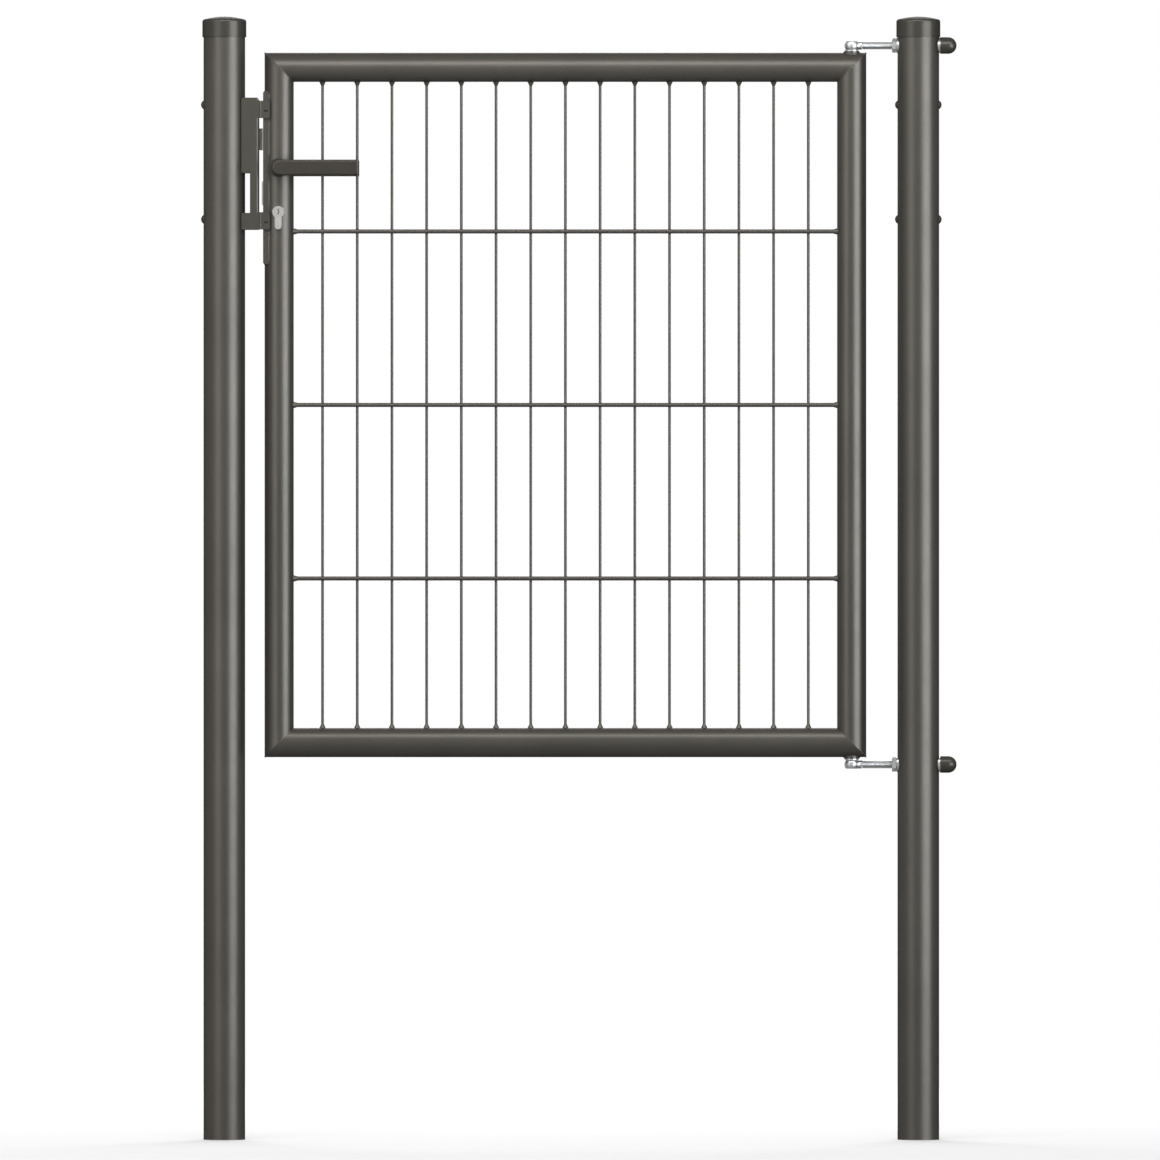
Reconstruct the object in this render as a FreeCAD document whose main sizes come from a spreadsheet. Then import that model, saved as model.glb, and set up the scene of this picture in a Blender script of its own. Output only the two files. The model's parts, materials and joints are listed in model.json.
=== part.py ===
# A wire panel gate between two round posts, with its hinges, lock, levers and strike.
# Millimetres. The origin is the foot of the hinge post, +Z is up and -Y is the side with the stops.
# The leaf hangs towards -X and opens towards +Y.

import FreeCAD, Part
import math
import os
import re
import Sketcher
from FreeCAD import Placement, Rotation, Vector

# The driving sizes, in millimetres.
SIZES = {
    # The two posts and their caps.
    "post_od": 60,
    "post_wall": 2,
    "hinge_below_cap": 1,
    "cap_wall": 1.6,
    "cap_play": 0.1,
    "cap_skirt": 20.5,
    "cap_rim": 5.5,
    "cap_dome": 3.6,
    "cap_round": 4,
    # The leaf's tube frame, and how far it hangs from each post.
    "hinge_offset": 96,
    "lock_offset": 79,
    "leaf_width": 825,
    "leaf_height": 973,
    "leaf_bottom": 572,
    "frame_od": 42,
    "frame_wall": 2,
    # The welded wire panel.
    "wire_pitch": 50,
    "wire_od": 4,
    "bar_pitch": 250,
    "bar_od": 6,
    "weld_foot_od": 10.2,
    "weld_length": 7.2,
    "weld_sunk": 2,
    "wire_melt": 0.3,
    # The hinges: a flanged pin on the leaf turns in an eyebolt through the post.
    "flange_od": 22,
    "flange_thick": 2.2,
    "pin_od": 10,
    "washer_od": 20,
    "washer_thick": 2,
    "hinge_play": 0.3,
    "eye_od": 21,
    "eye_height": 12,
    "eye_play": 0.08,
    "shank_od": 12,
    "shank_play": 0.25,
    "shank_tail": 3,
    "nut_across": 18,
    "nut_chamfer": 1,
    "jam_nut_thick": 6.5,
    "end_nut_thick": 10,
    "saddle_od": 22,
    "saddle_thick": 1.6,
    "nut_cap_wall": 1.5,
    "nut_cap_play": 0.1,
    "nut_cap_room": 1.5,
    # The screws and sleeve nuts that hold the strike, and the plugs in the same holes of the other post.
    "fixing_below": 15,
    "fixing_above": 10,
    "screw_od": 8,
    "screw_head_od": 15,
    "screw_play": 0.25,
    "screw_socket": 5,
    "screw_socket_depth": 2.5,
    "sleeve_wall": 0.65,
    "sleeve_length": 20,
    "plug_lap": 1.35,
    "plug_rise": 3.6,
    "plug_length": 6,
    "plug_play": 0.1,
    # The strike, a folded channel that straddles the lock post, with two stop lugs.
    "strike_sheet": 3,
    "strike_bend": 4,
    "strike_below": 35.7,
    "strike_above": 4.5,
    "strike_play": 0.1,
    "corner_wide": 2,
    "corner_tall": 4.5,
    "window_land": 13,
    "window_rise": 24,
    "window_height": 57.5,
    "keep_play": 3,
    "lug_height": 25,
    "lug_rise": 14.5,
    "lug_play": 0.7,
    "bead_radius": 2,
    "slot_rise": 9.1,
    "slot_height": 2.4,
    "slot_width": 5.6,
    "slot_inset": 2.9,
    "tab_play": 0.1,
    "tab_sunk": 1,
    "buffer_thick": 1.7,
    "buffer_gap": 0.3,
    "buffer_inset": 2,
    # The lock in its box in the lock stile.
    "lock_gap": 5.8,
    "box_proud": 2,
    "box_half": 15,
    "box_wall": 3,
    "box_round": 2.5,
    "box_above": 38,
    "box_below": 34.7,
    "box_tab": 14,
    "forend_thick": 3,
    "forend_play": 0.2,
    "forend_screw_od": 5,
    "forend_screw_inset": 8,
    "forend_socket": 3,
    "forend_socket_depth": 2,
    "case_half": 8,
    "case_margin": 15,
    "case_land": 3,
    "case_play": 0.5,
    "axis_inset": 1,
    "lever_drop": 145,
    "latch_gap": 17.5,
    "latch_height": 31.5,
    "latch_thick": 12,
    "latch_out": 12,
    "latch_length": 26,
    "latch_nose": 2,
    "latch_root": 1,
    "deadbolt_gap": 11.5,
    "deadbolt_height": 33.8,
    "deadbolt_thick": 10,
    "deadbolt_out": 2,
    "deadbolt_length": 26,
    "bolt_play": 0.3,
    "bolt_room": 0.5,
    "cylinder_gap": 2,
    "cylinder_od": 17,
    "cylinder_stem": 10,
    "cylinder_fall": 25,
    "cylinder_stand": 6,
    "cylinder_play": 0.2,
    "core_od": 11,
    "core_play": 0.06,
    "core_sunk": 0.2,
    "keyway_wide": 1.6,
    "keyway_tall": 8,
    "keyway_jog": 1.2,
    "keyway_rise": 0.5,
    "keyway_deep": 20,
    # The levers.
    "spindle_side": 8,
    "spindle_play": 0.1,
    "spindle_bite": 7.2,
    "follower_od": 16,
    "follower_play": 0.1,
    "rose_od": 27,
    "rose_stand": 3,
    "neck_od": 15,
    "neck_play": 0.3,
    "neck_end": 1,
    "neck_flare": 2.5,
    "lever_stand": 12,
    "lever_thick": 12,
    "lever_tall": 22.5,
    "lever_back": 9,
    "lever_front": 116,
    "lever_corner": 10.75,
    "lever_round": 3,
    "lever_back_round": 1.5,
}

# Radii, heights and places worked out from the sizes, as formulas.
POST_R = "(post_od / 2)"
FRAME_R = "(frame_od / 2)"
HINGE = "(-hinge_offset)"
LOCK_STILE = f"({HINGE} - leaf_width)"
LOCK_POST = f"({LOCK_STILE} - lock_offset)"
TOP_RAIL = "(leaf_bottom + leaf_height)"
HINGE_STACK = "(flange_thick + washer_thick + hinge_play)"
HINGE_HEIGHTS = {
    "lower": f"(leaf_bottom - {FRAME_R} - {HINGE_STACK} - eye_height / 2)",
    "upper": f"({TOP_RAIL} + {FRAME_R} + {HINGE_STACK} + eye_height / 2)",
}
POST_TOP = f"({HINGE_HEIGHTS['upper']} + saddle_od / 2 + hinge_below_cap + cap_skirt)"
# The lock, from its lever down to the deadbolt and the key, and up to the latch.
LEVER_Z = f"({TOP_RAIL} - lever_drop)"
DEADBOLT_LOW = f"({LEVER_Z} - follower_od / 2 - deadbolt_gap - deadbolt_height)"
CYLINDER_Z = f"({DEADBOLT_LOW} - cylinder_gap - cylinder_od / 2)"
LATCH_LOW = f"({LEVER_Z} + follower_od / 2 + latch_gap)"
LATCH_TOP = f"({LATCH_LOW} + latch_height)"
CASE_LOW = f"({CYLINDER_Z} - cylinder_fall - case_margin)"
CASE_TOP = f"({LATCH_TOP} + case_margin)"
BOX_LOW = f"({CASE_LOW} - box_below)"
BOX_TOP = f"({CASE_TOP} + box_above)"
BOX_REACH = f"({FRAME_R} + box_proud)"
BOX_FACE = f"({LOCK_STILE} - {BOX_REACH})"
BOX_DEPTH = f"({BOX_REACH} - axis_inset + cylinder_od / 2 + case_land + case_play)"
LOCK_AXIS = f"({LOCK_STILE} - axis_inset)"
FOREND_LOW = f"({BOX_LOW} + box_wall + forend_play)"
FOREND_TOP = f"({BOX_TOP} - box_wall - forend_play)"
FOREND_SCREWS = {
    "lower": f"({FOREND_LOW} + forend_screw_inset)",
    "upper": f"({FOREND_TOP} - forend_screw_inset)",
}
# The strike, whose reach is measured from the lock post's axis.
STRIKE_REACH = f"(lock_offset - {BOX_REACH} - lock_gap)"
STRIKE_FACE = f"({LOCK_POST} + {STRIKE_REACH})"
STRIKE_HALF = "(box_half + buffer_gap + buffer_thick + strike_sheet)"
STRIKE_LOW = f"({DEADBOLT_LOW} - strike_below)"
UPPER_LUG = f"({LATCH_TOP} + lug_rise)"
STRIKE_TOP = f"({UPPER_LUG} + lug_height + strike_above)"
LUG_BACK = f"({STRIKE_HALF} - strike_sheet)"
TUBE_SPAN = f"sqrt(max(0; {FRAME_R} * {FRAME_R} - {LUG_BACK} * {LUG_BACK}))"
LUG_REACH = f"(lock_offset - {TUBE_SPAN} - lug_play)"
SLOT_START = f"({LUG_REACH} - slot_inset - slot_width)"
LEG_START = f"(sqrt({POST_R} * {POST_R} - {LUG_BACK} * {LUG_BACK}) + strike_play)"
FIXING_HEIGHTS = {
    "lower": f"({STRIKE_LOW} + fixing_below)",
    "upper": f"({STRIKE_TOP} - fixing_above)",
}
SLEEVE_R = "(screw_od / 2 + screw_play + sleeve_wall)"
FIXING_HOLE_R = f"({SLEEVE_R} + plug_play)"
SHANK_HOLE_R = "(shank_od / 2 + shank_play)"
NECK_HOLE_R = "(neck_od / 2 + neck_play)"
LEVER_GAP = f"({FRAME_R} + lever_stand)"
SPINDLE_HOLE = "(spindle_side + 2 * spindle_play)"

# How far a shape that cuts runs past the face that it opens.
PAST = 1
TINY = 1e-6

doc = FreeCAD.newDocument("wire_panel_gate")
sheet = doc.addObject("Spreadsheet::Sheet", "sizes")
for line, (alias, size) in enumerate(SIZES.items(), start=1):
    sheet.set(f"A{line}", alias)
    sheet.set(f"B{line}", str(size))
    sheet.setAlias(f"B{line}", alias)
doc.recompute()

pieces = []


def value(formula):
    """The number that a formula of the sizes gives."""
    return float(sheet.evalExpression(str(formula)))


def tied(formula):
    """A formula of the sizes, written as other objects of the document read it."""
    word = r"\b[a-z_]+\b"
    return re.sub(word, lambda m: f"sizes.{m[0]}" if m[0] in SIZES else m[0], str(formula))


def bind(thing, **formulas):
    for name, formula in formulas.items():
        thing.setExpression(name.replace("__", "."), tied(formula))
    return thing


def moved(thing, x=0, y=0, z=0):
    return bind(thing, Placement__Base__x=x, Placement__Base__y=y, Placement__Base__z=z)


def piece(thing, name):
    """Names a finished sub-part, which is written to a file of that name."""
    thing.Label = name
    pieces.append(thing)
    return thing


# Primitives and booleans

TURNS = {
    "X": Rotation(Vector(0, 1, 0), 90),
    "-X": Rotation(Vector(0, 1, 0), -90),
    "Y": Rotation(Vector(1, 0, 0), -90),
    "-Y": Rotation(Vector(1, 0, 0), 90),
    "Z": Rotation(),
    "-Z": Rotation(Vector(1, 0, 0), 180),
}


def cylinder(name, radius, length, x=0, y=0, z=0, along="Z"):
    thing = doc.addObject("Part::Cylinder", name)
    thing.Placement = Placement(Vector(), TURNS[along])
    return moved(bind(thing, Radius=radius, Height=length), x, y, z)


def cone(name, radius1, radius2, length, x=0, y=0, z=0, along="Z"):
    thing = doc.addObject("Part::Cone", name)
    thing.Placement = Placement(Vector(), TURNS[along])
    return moved(bind(thing, Radius1=radius1, Radius2=radius2, Height=length), x, y, z)


def box(name, length, width, height, x=0, y=0, z=0):
    thing = doc.addObject("Part::Box", name)
    return moved(bind(thing, Length=length, Width=width, Height=height), x, y, z)


def prism(name, across, length, x=0, y=0, z=0, along="Z"):
    """A hexagonal bar, across flats."""
    thing = doc.addObject("Part::Prism", name)
    thing.Polygon = 6
    thing.Placement = Placement(Vector(), TURNS[along])
    return moved(bind(thing, Circumradius=f"{across} / sqrt(3)", Height=length), x, y, z)


def cut(name, base, *tools):
    for number, tool in enumerate(tools):
        last = number == len(tools) - 1
        thing = doc.addObject("Part::Cut", name if last else f"{name}_step")
        thing.Base = base
        thing.Tool = tool
        base = thing
    return base


def fuse(name, *shapes):
    thing = doc.addObject("Part::MultiFuse", name)
    thing.Shapes = list(shapes)
    thing.Refine = True
    return thing


def group(name, *shapes):
    """Like pieces that stand apart on one body, kept as one sub-part."""
    thing = doc.addObject("Part::Compound", name)
    thing.Links = list(shapes)
    return piece(thing, name)


def common(name, one, other):
    thing = doc.addObject("Part::Common", name)
    thing.Base = one
    thing.Tool = other
    return thing


# Bodies with sketches

def new_body(name):
    return doc.addObject("PartDesign::Body", name)


def origin_feature(body, role):
    return next(f for f in body.Origin.OriginFeatures if f.Role == role)


def arc_between(start, end, radius):
    """The short arc from start to end, bulging to the right of its way, or to the left if negative."""
    middle = (start + end) / 2
    chord = end - start
    half = chord.Length / 2
    right = Vector(chord.y, -chord.x, 0).normalize() * math.copysign(1, radius)
    sagitta = abs(radius) - math.sqrt(max(radius**2 - half**2, 0))
    ends = (start, end) if radius > 0 else (end, start)
    return Part.Arc(ends[0], middle + right * sagitta, ends[1])


def fix_point(sketch, side, end, across, up):
    """Holds one point of a side at its formulas."""
    for direction, axis, formula in (("DistanceX", -2, across), ("DistanceY", -1, up)):
        if str(formula) == "0":
            sketch.addConstraint(Sketcher.Constraint("PointOnObject", side, end, axis))
            continue
        distance = Sketcher.Constraint(direction, -1, 1, side, end, value(formula))
        number = sketch.addConstraint(distance)
        sketch.setExpression(f"Constraints[{number}]", tied(formula))


def fix_radius(sketch, side, radius):
    number = sketch.addConstraint(Sketcher.Constraint("Radius", side, abs(value(radius))))
    sketch.setExpression(f"Constraints[{number}]", tied(f"abs({radius})"))


def new_sketch(body, name, plane, offset=0):
    sketch = body.newObject("Sketcher::SketchObject", name)
    sketch.AttachmentSupport = [(origin_feature(body, plane), "")]
    sketch.MapMode = "FlatFace"
    return bind(sketch, AttachmentOffset__Base__z=offset)


def outline(sketch, *corners):
    """A closed outline. A corner is (across, up), and (across, up, radius) starts an arc."""
    places = [Vector(value(c[0]), value(c[1]), 0) for c in corners]
    count = len(corners)
    starts = []
    for number, corner in enumerate(corners):
        start, end = places[number], places[(number + 1) % count]
        if len(corner) == 3:
            side = sketch.addGeometry(arc_between(start, end, value(corner[2])), False)
            fix_radius(sketch, side, corner[2])
        else:
            side = sketch.addGeometry(Part.LineSegment(start, end), False)
        kept = sketch.Geometry[side].StartPoint.distanceToPoint(start) < TINY
        starts.append((side, 1 if kept else 2))
        fix_point(sketch, side, starts[-1][1], corner[0], corner[1])
    for number, (side, start) in enumerate(starts):
        after, next_start = starts[(number + 1) % count]
        sketch.addConstraint(Sketcher.Constraint("Coincident", side, 3 - start, after, next_start))
    return sketch


def rectangle(sketch, x0, x1, y0, y1):
    return outline(sketch, (x0, y0), (x1, y0), (x1, y1), (x0, y1))


def circle(sketch, radius, x=0, y=0):
    place = Vector(value(x), value(y), 0)
    side = sketch.addGeometry(Part.Circle(place, Vector(0, 0, 1), value(radius)), False)
    fix_radius(sketch, side, radius)
    fix_point(sketch, side, 3, x, y)
    return sketch


def extrude(body, kind, sketch, length, side="One side", reverse=False):
    feature = body.newObject(f"PartDesign::{kind}", f"{sketch.Name}_{kind.lower()}")
    feature.Profile = sketch
    feature.SideType = side
    feature.Reversed = reverse
    bind(feature, Length=length)
    body.Tip = feature
    return feature


def revolve(body, sketch, axis_role, kind="Revolution"):
    feature = body.newObject(f"PartDesign::{kind}", f"{sketch.Name}_turned")
    feature.Profile = sketch
    feature.ReferenceAxis = (origin_feature(body, axis_role), [""])
    feature.Angle = 360
    body.Tip = feature
    return feature


def pattern(body, features, axis_role, length, count):
    feature = body.newObject("PartDesign::LinearPattern", f"{body.Name}_row")
    feature.Originals = features
    feature.Direction = (origin_feature(body, axis_role), [""])
    bind(feature, Length=length, Occurrences=count)
    body.Tip = feature
    return feature


# The posts and their caps

def post(side, x, *holes):
    outer = cylinder(f"{side}_post_outside", POST_R, POST_TOP, x)
    inner = cylinder(f"{side}_post_inside", f"{POST_R} - post_wall", POST_TOP, x)
    return piece(cut(f"{side}_post", outer, inner, *holes), f"{side}_post")


def post_hole(name, radius, x, z):
    """A hole drilled right through a post."""
    reach = f"({POST_R} + {PAST})"
    return cylinder(name, radius, f"2 * {reach}", f"{x} - {reach}", 0, z, "X")


def post_cap(side, x):
    """A moulded cap: a skirt round the tube, a rounded shoulder and a shallow dome, hollow below."""
    body = new_body(f"{side}_cap_turned")
    inside = f"({POST_R} + cap_play)"
    hollow = f"({POST_R} - post_wall)"
    outside = f"({inside} + cap_wall)"
    shoulder = f"({POST_TOP} + cap_rim)"
    crown = f"({outside} - cap_round)"
    profile = outline(
        new_sketch(body, f"{side}_cap_profile", "XZ_Plane"),
        (inside, f"{POST_TOP} - cap_skirt"),
        (outside, f"{POST_TOP} - cap_skirt"),
        (outside, f"{shoulder} - cap_round", "cap_round"),
        (crown, shoulder, dome_radius(crown, "cap_dome")),
        ("0", f"{shoulder} + cap_dome"),
        ("0", f"{shoulder} + cap_dome - cap_wall", f"-{dome_radius(hollow, 'cap_dome')}"),
        (hollow, f"{shoulder} - cap_wall"),
        (hollow, POST_TOP),
        (inside, POST_TOP),
    )
    revolve(body, profile, "Z_Axis")
    return piece(moved(body, x), f"{side}_post_cap")


def dome_radius(radius, rise):
    """The radius of the sphere that a dome of this radius and rise is part of."""
    return f"(({radius} * {radius} + {rise} * {rise}) / (2 * {rise}))"


def post_holes(side, x):
    return [
        post_hole(f"{side}_{level}_fixing_hole", FIXING_HOLE_R, x, z)
        for level, z in FIXING_HEIGHTS.items()
    ]


shank_holes = [
    post_hole(f"{level}_shank_hole", SHANK_HOLE_R, 0, z) for level, z in HINGE_HEIGHTS.items()
]
post("hinge", 0, *shank_holes, *post_holes("hinge", 0))
post("lock", LOCK_POST, *post_holes("lock", LOCK_POST))
post_cap("hinge", 0)
post_cap("lock", LOCK_POST)


# The domed plugs and nuts in the posts' holes

def dome_plug(name, x, z, along, depth, bore=None):
    """A low domed head seated round the post's wall, with a stem through its hole."""
    body = new_body(f"{name}_turned")
    head = f"({SLEEVE_R} + plug_lap)"
    base = f"(sqrt({POST_R} * {POST_R} - {head} * {head}) - {PAST})"
    profile = outline(
        new_sketch(body, f"{name}_profile", "XZ_Plane"),
        ("0", base), (head, base), (head, POST_R, dome_radius(head, "plug_rise")),
        ("0", f"{POST_R} + plug_rise"),
    )
    revolve(body, profile, "Z_Axis")
    body.Placement = Placement(Vector(), TURNS[along])
    tube = cylinder(f"{name}_post", POST_R, f"4 * {head}", x, 0, f"{z} - 2 * {head}")
    dome = cut(f"{name}_head", moved(body, x, 0, z), tube)
    sign = "+" if along == "X" else "-"
    start = f"({x} {sign} ({POST_R} - {depth}))"
    stem = cylinder(f"{name}_stem", SLEEVE_R, f"{depth} + plug_rise / 2", start, 0, z, along)
    if bore:
        stem = cut(f"{name}_sleeve", stem, cylinder(
            f"{name}_bore", bore, f"{depth} - post_wall + {PAST}", f"{start} {opposite(sign)} {PAST}",
            0, z, along,
        ))
    return fuse(name, dome, stem)


def opposite(sign):
    return "-" if sign == "+" else "+"


plugs = []
sleeve_nuts = []
for level, z in FIXING_HEIGHTS.items():
    plugs.append(dome_plug(f"{level}_outer_plug", 0, z, "X", "plug_length"))
    plugs.append(dome_plug(f"{level}_inner_plug", 0, z, "-X", "plug_length"))
    sleeve_nuts.append(dome_plug(
        f"{level}_sleeve_nut", LOCK_POST, z, "-X", "sleeve_length", "screw_od / 2 + screw_play",
    ))
group("hinge_post_plugs", *plugs)
group("strike_sleeve_nuts", *sleeve_nuts)


# The hinges

def eyebolt(level, z):
    """A round eye, flat above and below, forged on a shank that passes through the post."""
    name = f"{level}_hinge_eyebolt"
    ball = doc.addObject("Part::Sphere", f"{name}_ball")
    moved(bind(ball, Radius="eye_od / 2"), HINGE, 0, z)
    slab = cylinder(f"{name}_slab", "eye_od / 2", "eye_height", HINGE, 0, f"{z} - eye_height / 2")
    eye = common(f"{name}_eye", ball, slab)
    tip = f"({POST_R} + saddle_thick + end_nut_thick + shank_tail)"
    shank = cylinder(f"{name}_shank", "shank_od / 2", f"hinge_offset + {tip}", HINGE, 0, z, "X")
    bore = cylinder(
        f"{name}_bore", "pin_od / 2 + eye_play", "2 * eye_height", HINGE, 0, f"{z} - eye_height",
    )
    return piece(cut(name, fuse(f"{name}_blank", eye, shank), bore), name)


def hex_nut(name, thick, z, x):
    """A hexagon whose corners are turned down to a cone at each end."""
    body = new_body(f"{name}_turned")
    corner = "(nut_across / sqrt(3))"
    face = f"({corner} - nut_chamfer * sqrt(3))"
    double_cone = outline(
        new_sketch(body, f"{name}_cones", "XZ_Plane"),
        ("0", "0"), (face, "0"), (f"{face} + {thick} / 2 * sqrt(3)", f"{thick} / 2"),
        (face, thick), ("0", thick),
    )
    revolve(body, double_cone, "Z_Axis")
    body.Placement = Placement(Vector(), TURNS["X"])
    blank = prism(f"{name}_hexagon", "nut_across", thick, x, 0, z, "X")
    turned = common(f"{name}_blank", blank, moved(body, x, 0, z))
    hole = cylinder(
        f"{name}_thread", "shank_od / 2", f"{thick} + 2 * {PAST}", f"{x} - {PAST}", 0, z, "X",
    )
    return piece(cut(name, turned, hole), name)


def saddle_washer(name, z, outer):
    """A washer with a flat outer face, bent round the post's wall."""
    reach = f"({POST_R} + saddle_thick)"
    depth = "(saddle_thick + saddle_od / 4)"
    start = f"({reach} - {depth})" if outer else f"(-{reach})"
    blank = cylinder(f"{name}_blank", "saddle_od / 2", depth, start, 0, z, "X")
    tube = cylinder(f"{name}_post", POST_R, "2 * saddle_od", 0, 0, f"{z} - saddle_od")
    hole = cylinder(
        f"{name}_hole", SHANK_HOLE_R, f"{depth} + 2 * {PAST}", f"{start} - {PAST}", 0, z, "X",
    )
    return piece(cut(name, blank, tube, hole), name)


def nut_cap(level, z):
    """A domed plastic cap that hides the outer nut."""
    name = f"{level}_hinge_nut_cap"
    body = new_body(f"{name}_turned")
    inside = "(nut_across / sqrt(3) + nut_cap_play)"
    outside = f"({inside} + nut_cap_wall)"
    straight = "(end_nut_thick + nut_cap_room)"
    profile = outline(
        new_sketch(body, f"{name}_profile", "XZ_Plane"),
        (inside, "0"),
        (outside, "0"),
        (outside, straight, outside),
        ("0", f"{straight} + {outside}"),
        ("0", f"{straight} + {inside}", f"-{inside}"),
        (inside, straight),
    )
    revolve(body, profile, "Z_Axis")
    body.Placement = Placement(Vector(), TURNS["X"])
    return piece(moved(body, f"{POST_R} + saddle_thick", 0, z), name)


def hinge_pin(level, upper):
    """A turned pin with a flange, welded to the outside of the frame at its corner."""
    name = f"{level}_hinge_pin"
    rail_z = TOP_RAIL if upper else "leaf_bottom"
    sign = "+" if upper else "-"
    along = "Z" if upper else "-Z"
    face = f"({rail_z} {sign} {FRAME_R})"
    sink = "(flange_od / 4)"
    flange = cylinder(
        f"{name}_flange", "flange_od / 2", f"flange_thick + {sink}",
        HINGE, 0, f"{face} {opposite(sign)} {sink}", along,
    )
    pin = cylinder(f"{name}_shaft", "pin_od / 2", f"{HINGE_STACK} + eye_height", HINGE, 0, face, along)
    tube = cylinder(f"{name}_rail", FRAME_R, "2 * flange_od", f"{HINGE} - flange_od", 0, rail_z, "X")
    return piece(cut(name, fuse(f"{name}_blank", flange, pin), tube), name)


def hinge_washer(level, upper):
    name = f"{level}_hinge_washer"
    low = f"({TOP_RAIL} + {FRAME_R} + flange_thick)"
    if not upper:
        low = f"(leaf_bottom - {FRAME_R} - flange_thick - washer_thick)"
    disc = cylinder(f"{name}_disc", "washer_od / 2", "washer_thick", HINGE, 0, low)
    hole = cylinder(
        f"{name}_hole", "pin_od / 2 + eye_play", f"washer_thick + 2 * {PAST}",
        HINGE, 0, f"{low} - {PAST}",
    )
    return piece(cut(name, disc, hole), name)


for level, z in HINGE_HEIGHTS.items():
    seat = f"({POST_R} + saddle_thick)"
    eyebolt(level, z)
    hex_nut(f"{level}_hinge_jam_nut", "jam_nut_thick", z, f"(-{seat} - jam_nut_thick)")
    hex_nut(f"{level}_hinge_end_nut", "end_nut_thick", z, seat)
    saddle_washer(f"{level}_inner_saddle_washer", z, False)
    saddle_washer(f"{level}_outer_saddle_washer", z, True)
    nut_cap(level, z)
    hinge_pin(level, level == "upper")
    hinge_washer(level, level == "upper")


# The leaf's frame: four round tubes, mitred and welded at the corners

def mitre(name, x, z, right, up):
    """The wedge that a mitre takes off a tube at a corner of the frame."""
    body = new_body(name)
    out, back = ("+", "-") if right else ("-", "+")
    rise, fall = ("+", "-") if up else ("-", "+")
    wedge = outline(
        new_sketch(body, f"{name}_sketch", "XZ_Plane"),
        (f"{x} {out} frame_od", f"{z} {rise} frame_od"),
        (f"{x} {back} frame_od", f"{z} {rise} frame_od"),
        (f"{x} {out} frame_od", f"{z} {fall} frame_od"),
    )
    extrude(body, "Pad", wedge, "2 * frame_od", "Symmetric")
    return body


def frame_tube(name, x, z, length, along, *cuts):
    outer = cylinder(f"{name}_outside", FRAME_R, length, x, 0, z, along)
    inner = cylinder(f"{name}_inside", f"{FRAME_R} - frame_wall", length, x, 0, z, along)
    return piece(cut(name, outer, inner, *cuts), name)


def stile(name, x, rails_right, *holes):
    """An upright of the frame, with the rails on its right or on its left."""
    wedges = (
        mitre(f"{name}_top_mitre", x, TOP_RAIL, rails_right, True),
        mitre(f"{name}_bottom_mitre", x, "leaf_bottom", rails_right, False),
    )
    low = "(leaf_bottom - frame_od)"
    return frame_tube(name, x, low, "leaf_height + 2 * frame_od", "Z", *wedges, *holes)


def rail(name, z, upper):
    wedges = (
        mitre(f"{name}_left_mitre", LOCK_STILE, z, False, not upper),
        mitre(f"{name}_right_mitre", HINGE, z, True, not upper),
    )
    left = f"({LOCK_STILE} - frame_od)"
    return frame_tube(name, left, z, "leaf_width + 2 * frame_od", "X", *wedges)


rail("top_rail", TOP_RAIL, True)
rail("bottom_rail", "leaf_bottom", False)
stile("hinge_stile", HINGE, False)


# The wire panel: upright wires with crossing bars welded on, and a cone of weld metal at each end

def wire_outline(sketch, radius, low, high, upright):
    """Half of a wire's outline, from its axis, with a weld's cone at each end."""
    foot = "weld_foot_od / 2"
    corners = [
        ("0", low), (foot, low), (radius, f"{low} + weld_length"),
        (radius, f"{high} - weld_length"), (foot, high), ("0", high),
    ]
    return outline(sketch, *(corner if upright else corner[::-1] for corner in corners))


def wire_panel():
    wire_count = "floor((leaf_width - frame_od) / wire_pitch)"
    wires_wide = f"(wire_pitch * ({wire_count} - 1))"
    wires = new_body("upright_wires")
    low = f"(leaf_bottom + {FRAME_R} - weld_sunk)"
    high = f"({TOP_RAIL} - {FRAME_R} + weld_sunk)"
    sketch = new_sketch(wires, "wire_profile", "XZ_Plane")
    wire = revolve(wires, wire_outline(sketch, "wire_od / 2", low, high, True), "Z_Axis")
    pattern(wires, [wire], "X_Axis", wires_wide, wire_count)
    first = f"{LOCK_STILE} + (leaf_width - {wires_wide}) / 2"
    moved(wires, first, "bar_od / 2 - wire_melt", 0)

    bar_count = "floor((leaf_height - frame_od) / bar_pitch)"
    bars_tall = f"(bar_pitch * ({bar_count} - 1))"
    bars = new_body("cross_bars")
    left = f"({LOCK_STILE} + {FRAME_R} - weld_sunk)"
    right = f"({HINGE} - {FRAME_R} + weld_sunk)"
    sketch = new_sketch(bars, "bar_profile", "XY_Plane")
    bar = revolve(bars, wire_outline(sketch, "bar_od / 2", left, right, False), "X_Axis")
    pattern(bars, [bar], "Z_Axis", bars_tall, bar_count)
    moved(bars, 0, "-wire_od / 2", f"leaf_bottom + (leaf_height - {bars_tall}) / 2")

    start = f"{LOCK_STILE} - frame_od"
    across = "leaf_width + 2 * frame_od"
    upright = "leaf_height + 2 * frame_od"
    low = "leaf_bottom - frame_od"
    tubes = [
        cylinder("top_rail_space", FRAME_R, across, start, 0, TOP_RAIL, "X"),
        cylinder("bottom_rail_space", FRAME_R, across, start, 0, "leaf_bottom", "X"),
        cylinder("lock_stile_space", FRAME_R, upright, LOCK_STILE, 0, low),
        cylinder("hinge_stile_space", FRAME_R, upright, HINGE, 0, low),
    ]
    return piece(cut("wire_panel", fuse("wires_and_bars", wires, bars), *tubes), "wire_panel")


wire_panel()


# The strike: a folded channel that straddles the lock post, with two stop lugs in front

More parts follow.
